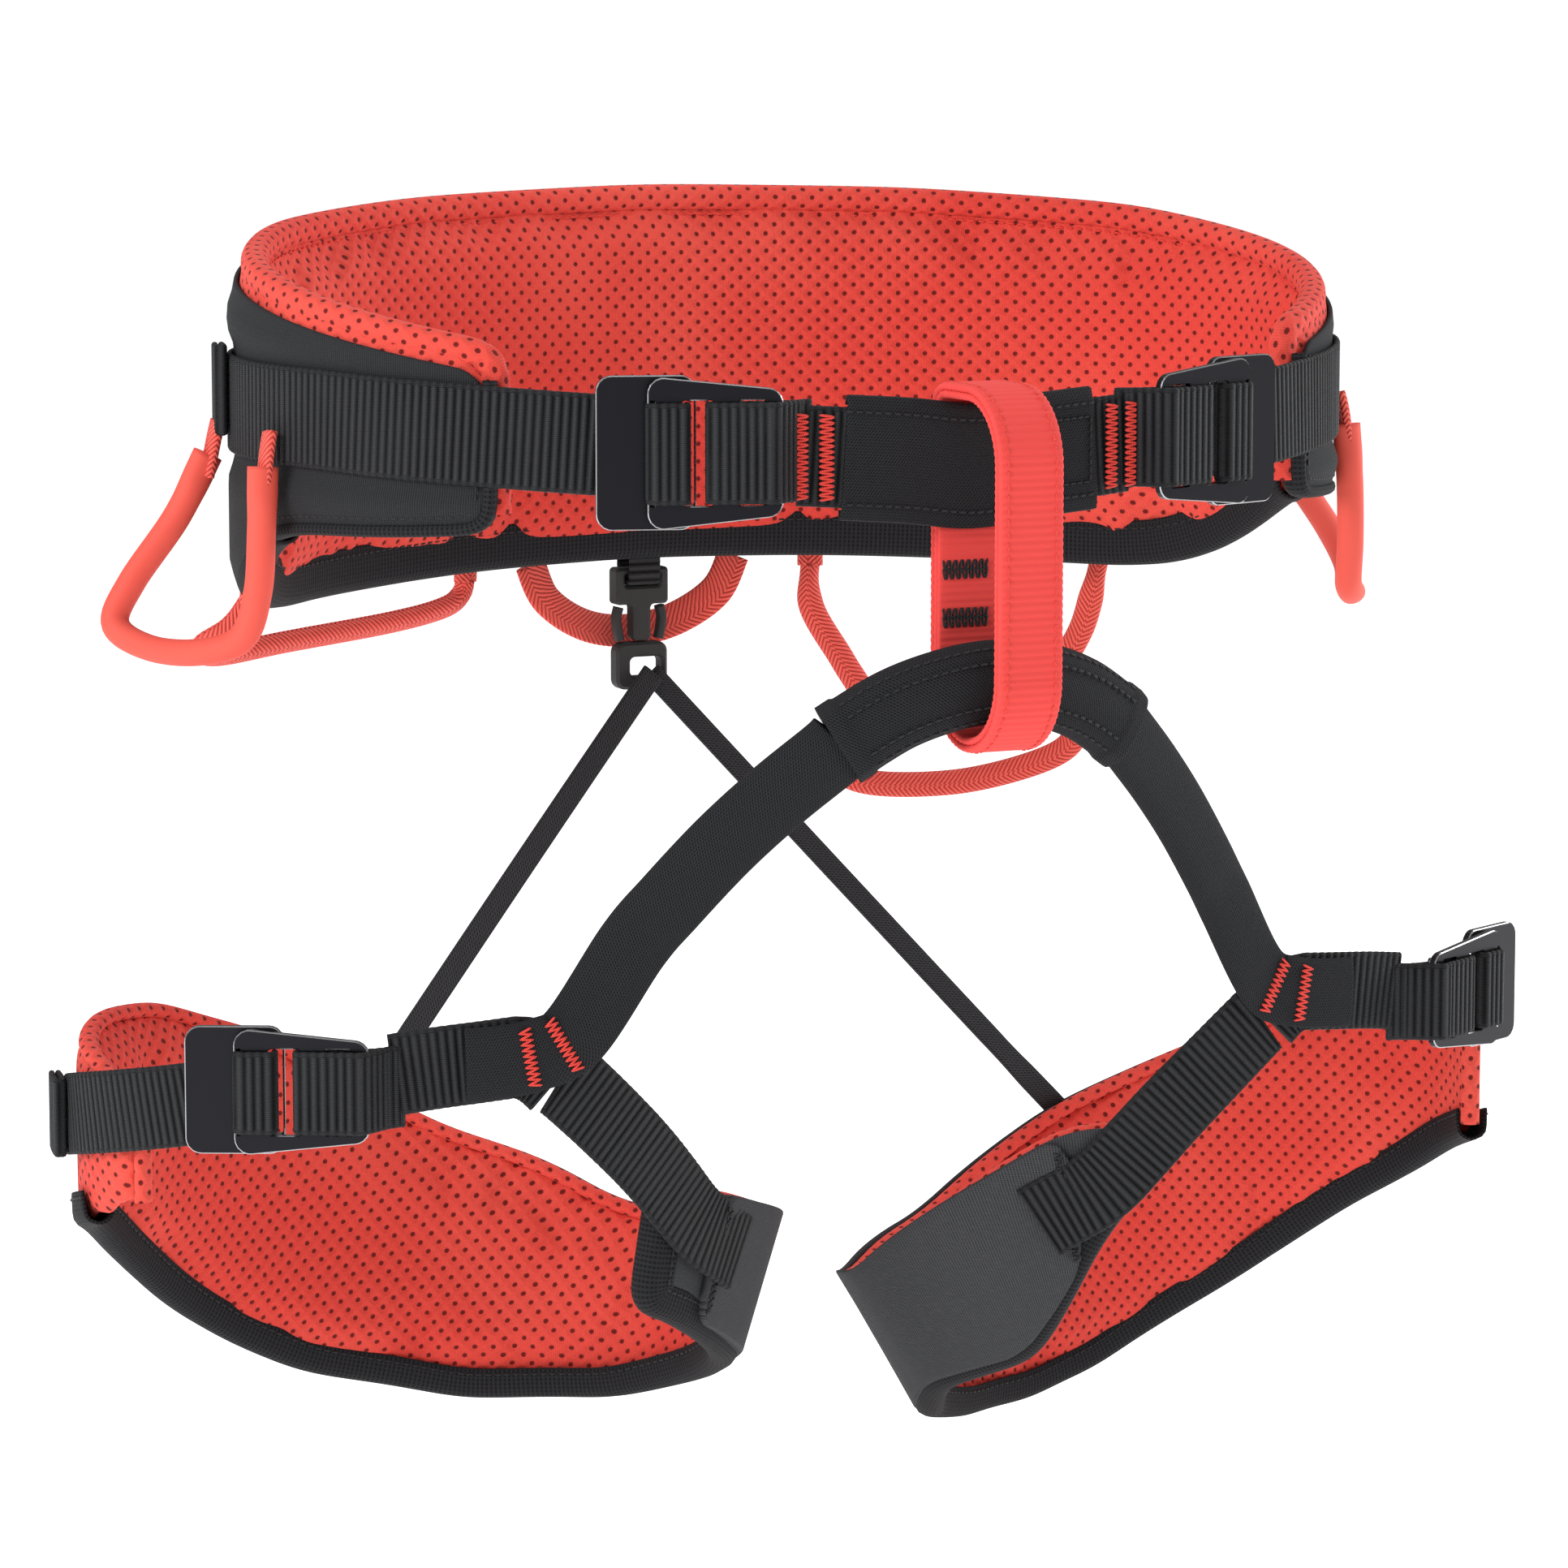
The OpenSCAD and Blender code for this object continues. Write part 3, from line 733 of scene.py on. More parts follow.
@dataclass(frozen=True)
class Weave:
    """Plain or heather cloth, or binding tape: fine crossed yarns, lighter on top as a painted highlight and
    darker between as painted shade, with streaks of lighter fibre.
    """

    name: str
    # The dark colour is painted shade between the yarns; the light colour is the painted highlight on the
    # yarn tops and also the lighter fibre of the streaks.
    dark: Colour
    light: Colour
    pitch: float = 0.75
    streak: float = 0.35
    slant: float = 0.0
    relief: float = 0.18
    rough: float = 0.75

    def material(self) -> bpy.types.Material:
        """Warp and weft waves take turns to be on top; slant leans them into a twill."""
        p = Paint(self.name)
        u, v = p.cloth()
        warp = u.wave(self.pitch, v * (math.pi * self.slant / self.pitch))
        weft = v.wave(self.pitch * 0.9)
        top = warp.most(weft * 0.8)
        streak = p.noise(0.9, 3, (0.35, 2.6, 1), own=True)
        fuzz = p.noise(2600, 2)
        # Painted highlight and shade: the yarn on top is lighter and the gaps between yarns darker; the fuzz
        # noise adds random fibre tone.
        body = p.mix((top * 0.7 + fuzz * 0.3).step(0.25, 0.95), self.dark, self.light)
        body = p.mix(streak.step(0.45, 0.8) * self.streak, body, self.light)
        relief = p.bump(fuzz, 0.06, p.bump(top, self.relief))
        return p.done(body, self.rough, relief, Sheen_Weight=0.01, Sheen_Roughness=0.5,
                      Specular_IOR_Level=0.12)


@dataclass(frozen=True)
class Chevron:
    """Braided tubular tape: its yarns lean one way on one half and the other way on the other."""

    name: str
    yarn: Colour
    light: Colour
    round_size: float
    pitch: float = 1.7

    def material(self) -> bpy.types.Material:
        """Slanted waves, mirrored about two lines that run along the tape."""
        p = Paint(self.name)
        u, v = p.cloth()
        fromline = v.centred(self.round_size / 2).size()
        yarn = u.wave(self.pitch, fromline * (math.pi / self.pitch * 0.9))
        line = 1 - fromline.step(0.15, 0.55)
        fuzz = p.noise(2000, 2)
        # Painted highlight and shade: the yarn waves are lighter on their crests and darker between them.
        body = p.mix((yarn * 0.8 + fuzz * 0.2).step(0.1, 0.8), self.yarn, self.light)
        # Painted shade: the grooves along the two lines are darkened towards the yarn colour.
        body = p.mix(line * 0.5, body, self.yarn)
        relief = p.bump(yarn - line * 0.6 + fuzz * 0.2, 0.4)
        return p.done(body, 0.62, relief, Sheen_Weight=0.05, Sheen_Roughness=0.45, Specular_IOR_Level=0.25)


@dataclass(frozen=True)
class Solid:
    """Moulded plastic, anodised metal, or bright metal that stands for a painted highlight: one body colour
    with grain, scuffs and fine relief.
    """

    name: str
    body: Colour
    worn: Colour
    rough: float
    metal: float = 0.0
    grain: float = 900.0
    depth: float = 0.03
    scuff: float = 0.25
    coat: float = 0.0
    specular: float = 0.5

    def material(self) -> bpy.types.Material:
        """Two noises: a broad one for uneven wear, a fine one for the surface's grain."""
        p = Paint(self.name)
        broad, fine = p.noise(30, 4), p.noise(self.grain, 3)
        mark = broad.step(0.48, 0.78) * self.scuff
        relief = p.bump(fine, self.depth)
        return p.done(p.mix(mark, self.body, self.worn), self.rough + 0.14 * (fine - 0.5) + 0.1 * mark,
                      relief,
                      Metallic=self.metal, Coat_Weight=self.coat, Coat_Roughness=0.25,
                      Specular_IOR_Level=self.specular)


@dataclass(frozen=True)
class Thread:
    """Sewing thread: twisted strands on each bead."""

    name: str
    dark: Colour
    light: Colour

    def material(self) -> bpy.types.Material:
        """Slanted waves over each stitch make the twist."""
        p = Paint(self.name)
        u, v = p.cloth()
        twist = u.wave(0.55, v * 1.05)
        # Painted highlight and shade: the twist's crests take the light colour and its grooves the dark one.
        return p.done(p.mix(twist.step(0.1, 0.8), self.dark, self.light), 0.55, p.bump(twist, 0.12),
                      Sheen_Weight=0.03, Sheen_Roughness=0.4, Specular_IOR_Level=0.3)


RED, RED_LIGHT = (0.74, 0.052, 0.036), (0.86, 0.10, 0.07)
# BLACK is the black webbing's painted shade in its rib gaps; BLACK_LIGHT is its painted highlight on the rib
# crests.
BLACK, BLACK_LIGHT = (0.003, 0.0031, 0.0036), (0.030, 0.031, 0.034)


class Finish(Enum):
    """Every finish on the harness. Its value makes the material."""

    # The second colour is the dark red painted in the holes as painted shade.
    MESH = SpacerMesh("spacer_mesh", (0.72, 0.056, 0.040), (0.13, 0.006, 0.005))
    WEB_WIDE = Webbing("webbing_wide", BLACK, BLACK_LIGHT, 29.0)
    WEB_NARROW = Webbing("webbing_narrow", BLACK, BLACK_LIGHT, 24.0)
    # Red webbing: painted shade in the rib gaps, then the painted highlight on the rib crests.
    WEB_RED = Webbing("webbing_red", (0.40, 0.018, 0.012), (0.84, 0.11, 0.08), 20.5, pitch=2.2, sheen=0.05)
    SHELL = Weave("shell_weave", (0.005, 0.0052, 0.006), (0.030, 0.031, 0.034), pitch=0.7, streak=0.3)
    HEATHER = Weave("heather_weave", (0.009, 0.0094, 0.0105), (0.062, 0.064, 0.069), pitch=0.8, streak=0.75)
    TAPE = Weave("binding_tape", (0.003, 0.0031, 0.0036), (0.020, 0.0205, 0.023), pitch=1.5, streak=0.12,
                 relief=0.28)
    SLEEVE = Weave("sleeve_twill", (0.003, 0.0031, 0.0036), (0.024, 0.025, 0.028), pitch=0.95, streak=0.2,
                   slant=0.7, relief=0.3)
    ELASTIC = Weave("elastic_braid", (0.006, 0.0062, 0.007), (0.045, 0.046, 0.05), pitch=1.15, streak=0.1,
                    slant=1.0, relief=0.3)
    BRAID = Chevron("braided_tape", (0.52, 0.03, 0.021), (0.88, 0.12, 0.09), 22.0)
    MOULDED = Solid("moulded_red", (0.70, 0.055, 0.04), (0.85, 0.12, 0.09), 0.36, grain=700, depth=0.035,
                    coat=0.12)
    NYLON = Solid("nylon_black", (0.006, 0.0062, 0.007), (0.02, 0.021, 0.023), 0.36, grain=1400, depth=0.05)
    ANODISED = Solid("anodised_black", (0.004, 0.0042, 0.005), (0.012, 0.0125, 0.014), 0.3, grain=2400,
                     depth=0.012, scuff=0.5)
    # Painted highlight: bright metal on the buckles' chamfers, where the black anodised edges catch the
    # light.
    BRIGHT = Solid("polished_edge", (0.42, 0.42, 0.43), (0.16, 0.16, 0.165), 0.26, metal=1.0, grain=1800,
                   depth=0.008)
    THREAD_RED = Thread("thread_red", (0.42, 0.02, 0.015), (0.88, 0.07, 0.05))
    THREAD_BLACK = Thread("thread_black", (0.003, 0.003, 0.0035), (0.022, 0.0225, 0.025))

    def material(self) -> bpy.types.Material:
        """The finish's material, made once."""
        return bpy.data.materials.get(self.value.name) or self.value.material()


# ---------------------------------------------------------------------------------------------- pieces


def mesh_from(name: str, patches: Sequence[Patch]) -> bpy.types.Mesh:
    """One smooth mesh in metres from patches, with their UVs, still in mm, as the map named cloth.

    Args:
        name: the mesh's name.
        patches: the surfaces, in mm.

    Returns:
        The mesh.
    """
    shifts = np.cumsum([0] + [len(p.points) for p in patches])
    points = np.concatenate([p.points for p in patches]) * MM
    quads = np.concatenate([p.quads + s for p, s in zip(patches, shifts)])
    mesh = bpy.data.meshes.new(name)
    mesh.from_pydata(points.tolist(), [], quads.tolist())
    layer = mesh.uv_layers.new(name="cloth")
    layer.data.foreach_set("uv", np.concatenate([p.uv for p in patches]).astype(np.float32).ravel())
    mesh.polygons.foreach_set("use_smooth", np.ones(len(quads), bool))
    mesh.update()
    return mesh


def read_points(mesh: bpy.types.Mesh) -> Array:
    """Places of a mesh's points, (n, 3)."""
    flat = np.zeros(len(mesh.vertices) * 3, np.float32)
    mesh.vertices.foreach_get("co", flat)
    return flat.reshape(-1, 3)


def write_points(mesh: bpy.types.Mesh, points: Array) -> None:
    """Moves a mesh's points to new places."""
    mesh.vertices.foreach_set("co", points.astype(np.float32).ravel())


@dataclass
class Maker:
    """Puts a finished mesh into the scene as a piece of the harness."""

    made: int = 0

    def piece(self, name: str, shape: "Sequence[Patch] | bpy.types.Mesh", finish: Finish, body: str | tuple,
              stands_for: Sequence[str] = (), slot: str | None = None,
              extra: Sequence[Finish] = ()) -> bpy.types.Object:
        """Adds one piece.

        Args:
            name: the piece's name.
            shape: its patches, or a mesh.
            finish: its finish.
            body: the CAD body it rides on, or a tuple (body, body, start, end), for which it is left on no
                body with its transform baked in.
            stands_for: CAD nodes it replaces.
            slot: the record's material slot; not used.
            extra: finishes for the mesh's further material slots.

        Returns:
            The object.
        """
        mesh = shape if isinstance(shape, bpy.types.Mesh) else mesh_from(name, shape)
        for one in (finish, *extra):
            mesh.materials.append(one.material())
        piece = bpy.data.objects.new(name, mesh)
        bpy.context.scene.collection.objects.link(piece)
        if isinstance(body, tuple):
            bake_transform(piece)
        else:
            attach(piece, body)
        if stands_for:
            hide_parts(*stands_for)
        self.made += 1
        LOG.info("%s: %d faces, %s", name, len(mesh.polygons), finish.value.name)
        return piece


def plate_mesh(name: str, outlines: Sequence[Array], thick: float, chamfer: float,
               spot: tuple[Array, Array, Array], near: float, side: Side = Side.RIGHT) -> bpy.types.Mesh:
    """A flat plate with openings and chamfered edges, stood on a belt.

    The outlines become one filled curve, which is thickened and chamfered, then made a mesh. Its x runs away
    from the front centre, its y up, and its z outwards from near.

    Args:
        name: the mesh's name.
        outlines: the outer outline, then its openings, (n, 2) in mm.
        thick: the plate's thickness.
        chamfer: width of the chamfer.
        spot: centre, along and outward directions.
        near: distance of the plate's back from the centre, outwards.
        side: which side of the harness it is on.

    Returns:
        The mesh, with chamfer faces in material slot 1.
    """
    curve = bpy.data.curves.new(name, "CURVE")
    curve.dimensions, curve.fill_mode = "2D", "BOTH"
    curve.extrude, curve.offset = thick / 2 - chamfer, -chamfer
    curve.bevel_depth, curve.bevel_resolution = chamfer, 0
    for outline in outlines:
        line = curve.splines.new("POLY")
        line.points.add(len(outline) - 1)
        row = np.ones((len(outline), 1))
        line.points.foreach_set("co", np.concatenate([outline, 0 * row, row], 1).ravel())
        line.use_cyclic_u = True
    holder = bpy.data.objects.new(name, curve)
    bpy.context.scene.collection.objects.link(holder)
    mesh = bpy.data.meshes.new_from_object(holder.evaluated_get(bpy.context.evaluated_depsgraph_get()))
    bpy.data.objects.remove(holder)
    local = read_points(mesh)
    centre, along, out = spot
    points = centre + local[:, :1] * along + local[:, 1:2] * UP + (local[:, 2:] + near + thick / 2) * out
    write_points(mesh, points * [side.value, 1, 1] * MM)
    build = bmesh.new()
    build.from_mesh(mesh)
    bmesh.ops.remove_doubles(build, verts=build.verts, dist=WELD)
    bmesh.ops.recalc_face_normals(build, faces=build.faces)
    outward = Vector(out * [side.value, 1, 1])
    for face in build.faces:
        lean = abs(face.normal.dot(outward))
        face.material_index = int(0.25 < lean < 0.92)
        face.smooth = False
    build.to_mesh(mesh)
    build.free()
    while mesh.materials:
        mesh.materials.pop()
    return mesh


def belt_strap(ring: Ring, t0: float, t1: float, offset: float, mid: Callable[[Array], Array],
               width: float) -> Patch:
    """Webbing that lies on a belt.

    Args:
        ring: the belt.
        t0: angle that it starts at.
        t1: angle that it stops at.
        offset: how far outside the ring its middle lies.
        mid: height of its middle at an angle.
        width: its width.

    Returns:
        The strap.
    """
    t = ring.spaced(t0, t1, WEB_STEP)
    return sweep(ring.at(t, offset, mid(t)), ring.outward(t), flat_section(width, WEB_T), rib=WEB_RIB)


def strap_loop(ring: Ring, at: float, z: float, line: Sequence[Sequence[float]], web: float, thick: float,
               rib: float = WEB_RIB) -> Patch:
    """Webbing along a line drawn in plan on a buckle's own axes: x away from the front centre, y outwards.

    Args:
        ring: the belt.
        at: the buckle's angle.
        z: its height.
        line: the middle of the webbing, in plan.
        web: webbing width.
        thick: webbing thickness.
        rib: depth of its ribs.

    Returns:
        The strap.
    """
    flat = spline([(x, y, 0.0) for x, y in line], WEB_STEP)
    centre, along, out = ring.spot(at, z)
    path = centre + flat[:, :1] * along + flat[:, 1:2] * out
    t = tangents(path)
    return sweep(path, np.cross(UP, t), flat_section(web, thick), rib=rib)


@dataclass
class Cushion:
    """A curved pad on a ring: its two ends and edges are rounded, and its offsets are functions of place.

    A point is the ring's point at angle t and height z, moved outwards by o. Across the pad, z runs from its
    lower to its upper edge, and o goes from the outer face round the edge to the inner face.
    """

    ring: Ring
    start: float
    stop: float
    top: Callable[[Array], Array]
    low: Callable[[Array], Array]
    inner: float
    outer: float
    round_start: float = 12.0
    round_stop: float = 12.0
    thin_rim: float = 0.0
    bulge: Callable[[Array, Array], Array] | None = None

    def edges(self, t: Array) -> tuple[Array, Array]:
        """Lower and upper edge heights at angle t, with both ends' corners rounded."""
        run, (first, last) = self.ring.arc(t), self.ring.arc(np.array([self.start, self.stop]))
        inset = corner_inset(run - first, self.round_start) + corner_inset(last - run, self.round_stop)
        return self.low(t) + inset, self.top(t) - inset

    def patch(self, step: float = 4.0, flats: int = 14) -> Patch:
        """The pad as a closed surface.

        Args:
            step: distance between rows.
            flats: points across each face.

        Returns:
            The surface.
        """
        t = self.ring.spaced(self.start, self.stop, step)
        run, (first, last) = self.ring.arc(t), self.ring.arc(np.array([self.start, self.stop]))
        low, top = self.edges(t)
        half = (self.outer - self.inner) / 2
        end = np.clip(np.minimum(run - first, last - run), 0.05, half)
        round_end = np.sqrt(1 - (1 - end / half) ** 2)
        shape = flat_section(2.0, 2.0, flats, 3)
        turn = np.linspace(-1, 1, flats)
        a = np.concatenate([turn, np.ones(3), turn[::-1], -np.ones(3)])
        b = np.concatenate([np.zeros(flats), shape.across[flats:flats + 3], np.zeros(flats),
                            shape.across[-3:]])
        r = np.minimum(half, (top - low) / 2 - 0.2)[:, None]
        z = ((top + low) / 2)[:, None] + a * ((top - low)[:, None] / 2 - r) + b * r
        rim = np.minimum(np.minimum(top[:, None] - z, (run - first)[:, None]), (last - run)[:, None])
        thin = 1 - self.thin_rim * (1 - ease(rim, 3.0, 15.0))
        lift = shape.lift * half * round_end[:, None]
        lift = np.where(shape.lift < 0, lift * thin, lift)
        if self.bulge is not None:
            lift = lift + np.where(shape.lift > 0, self.bulge(np.broadcast_to(t[:, None], z.shape), z), 0.0)
        o = (self.outer + self.inner) / 2 + lift
        points = self.ring.at(t[:, None], o, z)
        u = np.broadcast_to(run[:, None], z.shape)
        uv = np.stack([u, z], -1)
        return grid(points, np.concatenate([uv, uv[:, :1]], 1))

    def line(self, parts: str, inset: float, reach: int = 5, step: float = 2.0) -> tuple[Array, Array]:
        """A path along the pad's edges, in from them by inset, with softened corners.

        Args:
            parts: which edges, in order, of start, top, stop, low, back, rise and drop. Back is low run
                backwards, rise is stop from low to top, and drop is start from top to low.
            inset: distance from the edges.
            reach: samples that corners are softened over.
            step: distance between points.

        Returns:
            Angles and heights.
        """
        first, last = self.ring.arc(np.array([self.start, self.stop])) + np.array([inset, -inset])
        runs = np.linspace(first, last, 240)
        t = self.ring.angle(runs)
        top, low = self.top(t) - inset, self.low(t) + inset
        edges = {"start": ([first, first], [low[0], top[0]]), "top": (runs, top), "stop": ([last, last],
                                                                                           [top[-1],
                                                                                            low[-1]]),
                 "low": (runs, low), "back": (runs[::-1], low[::-1]), "rise": ([last, last],
                                                                               [low[-1], top[-1]]),
                 "drop": ([first, first], [top[0], low[0]])}
        chosen = [np.stack([np.array(edges[p][0], float), np.array(edges[p][1], float)],
                           1) for p in parts.split()]
        flat = np.concatenate(chosen)
        path = evenly(np.concatenate([flat, np.zeros((len(flat), 1))], 1), step)
        path = soften(path, reach) if reach else path
        return self.ring.angle(path[:, 0]), path[:, 1]

    def along(self, parts: str, inset: float, offset: float, reach: int = 5,
              step: float = 2.0) -> tuple[Array, Array]:
        """The same path as points at an offset, with their outward directions."""
        t, z = self.line(parts, inset, reach, step)
        return self.ring.at(t, offset, z), self.ring.outward(t)

    def angles(self, points: Array) -> Array:
        """Angle of each point less the ring's lean: the lean and the angle are solved for in four turns."""
        t = np.full(len(points), 180.0)
        for _ in range(4):
            shift = self.ring.lean(t, points[:, 2] - self.ring.z) if self.ring.lean is not None else 0.0
            x, y = (points[:, 0] - self.ring.x - shift) / self.ring.a, (points[:,
                                                                               1] - self.ring.y) / self.ring.b
            t = np.degrees(np.arctan2(x, -y)) % 360
        return t

    def placed(self, mesh: bpy.types.Mesh) -> None:
        """Gives a remeshed pad its cloth map again: length along the ring and height at each corner."""
        co = read_points(mesh).astype(float) / MM
        uv = np.stack([self.ring.arc(self.angles(co)), co[:, 2] - self.ring.z], 1)
        corner = np.zeros(len(mesh.loops), np.int32)
        mesh.loops.foreach_get("vertex_index", corner)
        layer = mesh.uv_layers.get("cloth") or mesh.uv_layers.new(name="cloth")
        layer.data.foreach_set("uv", uv[corner].astype(np.float32).ravel())

    def puffed(self, name: str, swell: float, most: float, voxel: float = 5.0) -> bpy.types.Mesh:
        """The pad swollen by cloth simulation on its inner side only, so that its outer face stays.

        The closed form is remeshed evenly and blown up by pressure. Each point then moves by the simulated
        amount, held to most inwards, to nearly nothing outwards, and to nothing at the sewn edges.

        Args:
            name: the mesh's name.
            swell: pressure.
            most: the farthest that a point may move, in mm.
            voxel: size of the even faces, in mm.

        Returns:
            The mesh in metres.
        """
        base = mesh_from(name, [self.patch()])
        scene = bpy.context.scene
        holder = bpy.data.objects.new(name + "_work", base)
        scene.collection.objects.link(holder)
        even = holder.modifiers.new("even", "REMESH")
        even.mode, even.voxel_size, even.use_smooth_shade = "VOXEL", voxel * MM, True
        mesh = bpy.data.meshes.new_from_object(holder.evaluated_get(bpy.context.evaluated_depsgraph_get()))
        holder.modifiers.clear()
        holder.data = mesh
        rest = read_points(mesh).astype(float)
        cloth = holder.modifiers.new("cloth", "CLOTH")
        cloth.settings.use_pressure, cloth.settings.uniform_pressure_force = True, swell
        cloth.settings.quality, cloth.settings.effector_weights.gravity = 5, 0.0
        cloth.settings.shrink_min = -0.04
        cloth.point_cache.frame_start, cloth.point_cache.frame_end = 1, 20
        for step in range(1, 21):
            scene.frame_set(step)
        posed = holder.evaluated_get(bpy.context.evaluated_depsgraph_get())
        moved = read_points(posed.data).astype(float)
        holder.modifiers.clear()
        scene.frame_set(1)
        local = rest / MM
        t = self.angles(local)
        out, run, z = self.ring.outward(t), self.ring.arc(t), local[:, 2] - self.ring.z
        first, last = self.ring.arc(np.array([self.start, self.stop]))
        low, top = self.edges(np.clip(t, self.start, self.stop))
        edge = np.minimum(np.minimum(z - low, top - z), np.minimum(run - first, last - run))
        push = (moved - rest) / MM
        radial = np.sum(push * out, 1)
        slide = push - radial[:, None] * out
        held = ease(edge, 2.0, 16.0)[:, None]
        slide *= np.minimum(1.0, 1.2 / np.maximum(np.linalg.norm(slide, axis=1, keepdims=True), 1e-6))
        final = rest + MM * held * (np.clip(radial, -most, 0.1)[:, None] * out + slide)
        write_points(mesh, final)
        LOG.info("%s: swelled by up to %.1f mm", name, float(-(np.clip(radial, -most, 0.1) * held[:,
                                                                                                  0]).min()))
        self.placed(mesh)
        mesh.polygons.foreach_set("use_smooth", np.ones(len(mesh.polygons), bool))
        bpy.data.objects.remove(holder)
        return mesh


def subdivide(piece: bpy.types.Object) -> None:
    """Adds one live subdivision, the same in view and render."""
    smooth = piece.modifiers.new("smooth", "SUBSURF")
    smooth.levels = smooth.render_levels = 1


TAPE_FOLD = ((-12.6, 6.0), (-11.0, 6.1), (-8.0, 6.0), (-4.0, 5.9), (-1.0, 5.5), (0.9, 4.2), (1.9, 1.8),
             (2.1, 0.2),
             (1.8, -1.8), (0.8, -3.7), (-1.0, -4.9), (-4.0, -5.3), (-8.0, -5.4), (-11.0, -5.3), (-12.4, -5.1))


def tape_fold(reach: float, outer: float, inner: float) -> Section:
    """Binding tape folded round an edge: flaps reach mm high, at the outer and inner offsets."""
    flap = reach / 12.6
    line = [(x * (flap if x < 0 else 1.0), y * ((outer / 6.0) if y > 0 else (inner / 5.3))) for x,
            y in TAPE_FOLD]
    return thick_line(line, -0.9)


WEB_MID = reader([(0, -21), (26, -16), (50, -12), (73, -9), (107, -8), (180, -8)])
PAD_TOP = reader([(0, 9), (48, 13), (62, 19), (90, 31), (120, 42), (150, 47), (180, 49)])
PAD_LOW = reader([(0, -36), (48, -40), (62, -42), (80, -43), (90, -49), (100, -61), (110, -70), (120, -73),
                  (140, -72), (160, -70), (180, -69)])
WAIST = Ring(170.0, 114.0)


@dataclass
class WaistBelt:
    """Padded waist belt: mesh pad with a rolled rim, woven shell, binding, webbing and its tails."""

    ring: Ring = WAIST
    start: float = 48.0
    web_w: float = 29.0
    web_offset: float = 7.0

    def pad(self) -> Cushion:
        """The pad's own form."""
        return Cushion(self.ring, self.start, 360 - self.start, PAD_TOP, PAD_LOW, -4.0, 4.0, 14.0, 14.0,
                       thin_rim=0.62)

    def shell(self) -> Cushion:
        """The right-hand shell: it swells over the pad above and below the webbing."""

        def bulge(t: Array, z: Array) -> Array:
            """Up to 2.2 mm, away from the webbing and from the shell's own edges."""
            web = ease(np.abs(z - WEB_MID(t)), self.web_w / 2 + 0.5, self.web_w / 2 + 9)
            edge = ease(np.minimum(z - PAD_LOW(t), PAD_TOP(t) - 8 - z), 1.0, 10.0)
            return 2.2 * web * edge

        return Cushion(self.ring, self.start + 1.5, 180.2, lambda t: PAD_TOP(t) - 8.0,
                       lambda t: PAD_LOW(t) + 1.5,
                       4.2, 5.7, 10.0, 0.5, bulge=bulge)

    def build(self, maker: Maker) -> None:
        """Builds every piece of the belt on the waist body."""
        pad = self.pad()
        piece = maker.piece("waist_pad_mesh", pad.puffed("waist_pad_mesh", 4.0, 4.0), Finish.MESH, "waist",
                            ["waist_pad"], "mesh_red")
        subdivide(piece)
        path, out = pad.along("start top stop", 3.4, -0.6, 6)
        maker.piece("waist_rolled_rim", [sweep(path, out, oval_section(8.4, 8.2, 20, 2.3))], Finish.MESH,
                    "waist", slot="mesh_red")
        seam, face = pad.along("start top stop", 8.6, -2.9, 6)
        maker.piece("waist_rim_stitches", [stitches(seam, -face, 3.2, 2.3)], Finish.THREAD_RED, "waist",
                    slot="mesh_red")
        for side in Side:
            shell = self.shell()
            maker.piece(f"waist_shell_{side.word}_cloth", [shell.patch(3.0, 26).mirrored(side)],
                        Finish.SHELL, "waist",
                        [f"waist_shell_{side.word}"], "shell_grey")
            path, out = shell.along("drop low", 0.2, 3.4, 6)
            count = int(np.searchsorted(self.ring.arc(shell.line("drop low", 0.2, 6)[0]),
                                        self.ring.arc(np.array(90.0))))
            path, out = path[:count], out[:count]
            maker.piece(f"waist_piping_{side.word}", [sweep(path, out, oval_section(4.2, 7.6, 16,
                                                                                    2.5)).mirrored(side)],
                        Finish.TAPE, "waist", slot="binding_black")
            seam = stitches(path + out * 3.2 + np.cross(tangents(path), out) * -3.6, out, 2.9, 2.1)
            maker.piece(f"waist_piping_stitches_{side.word}", [seam.mirrored(side)], Finish.THREAD_BLACK,
                        "waist", slot="binding_black")
        t, z = pad.line("low", 0.4, 0, 3.0)
        t, z = t[(t > 84) & (t < 276)], z[(t > 84) & (t < 276)]
        path, out = self.ring.at(t, 0.0, z), self.ring.outward(t)
        seams = [(-10.4, 6.15, 1.0), (-10.2, -5.5, -1.0)]
        tape = [sweep(path, out, tape_fold(13.0, 6.0, 5.3))]
        maker.piece("waist_binding_tape", tape, Finish.TAPE, "waist", ["waist_binding"], "binding_black")
        rows = [stitches(path + out * lift + np.array([0, 0, -across]), out * way, 3.0, 2.2) for across,
                lift, way in seams]
        maker.piece("waist_binding_stitches", rows, Finish.THREAD_BLACK, "waist", slot="binding_black")
        web = belt_strap(self.ring, 30.0, 330.0, self.web_offset, WEB_MID, self.web_w)
        maker.piece("waist_webbing_strap", [web], Finish.WEB_WIDE, "waist", ["waist_webbing"],
                    "webbing_black")
        for side, at, lift in ((Side.RIGHT, 92.0, 0.0), (Side.LEFT, 101.0, 4.0)):
            z = float(WEB_MID(np.array(at))) + lift
            line = [(6.5, 9.3), (1, 9.2), (-5.0, 9.3), (-6.2, 9.9), (-6.2, 10.8), (-5.0, 11.4), (1, 11.5),
                    (6.5, 11.3)]
            tail = strap_loop(self.ring, at, z, line, self.web_w - 2, WEB_FOLDED_T)
            maker.piece(f"waist_tail_{side.word}_fold", [tail.mirrored(side)], Finish.WEB_WIDE, "waist",
                        [f"waist_tail_{side.word}"], "webbing_black")


def opening(ends: tuple[float, float], half: float, radius: float) -> Array:
    """Outline of an upright rectangle with rounded corners, between two ends and half high both ways."""
    near, far = ends
    return rounded_outline([(near, -half), (far, -half), (far, half), (near, half)], radius)


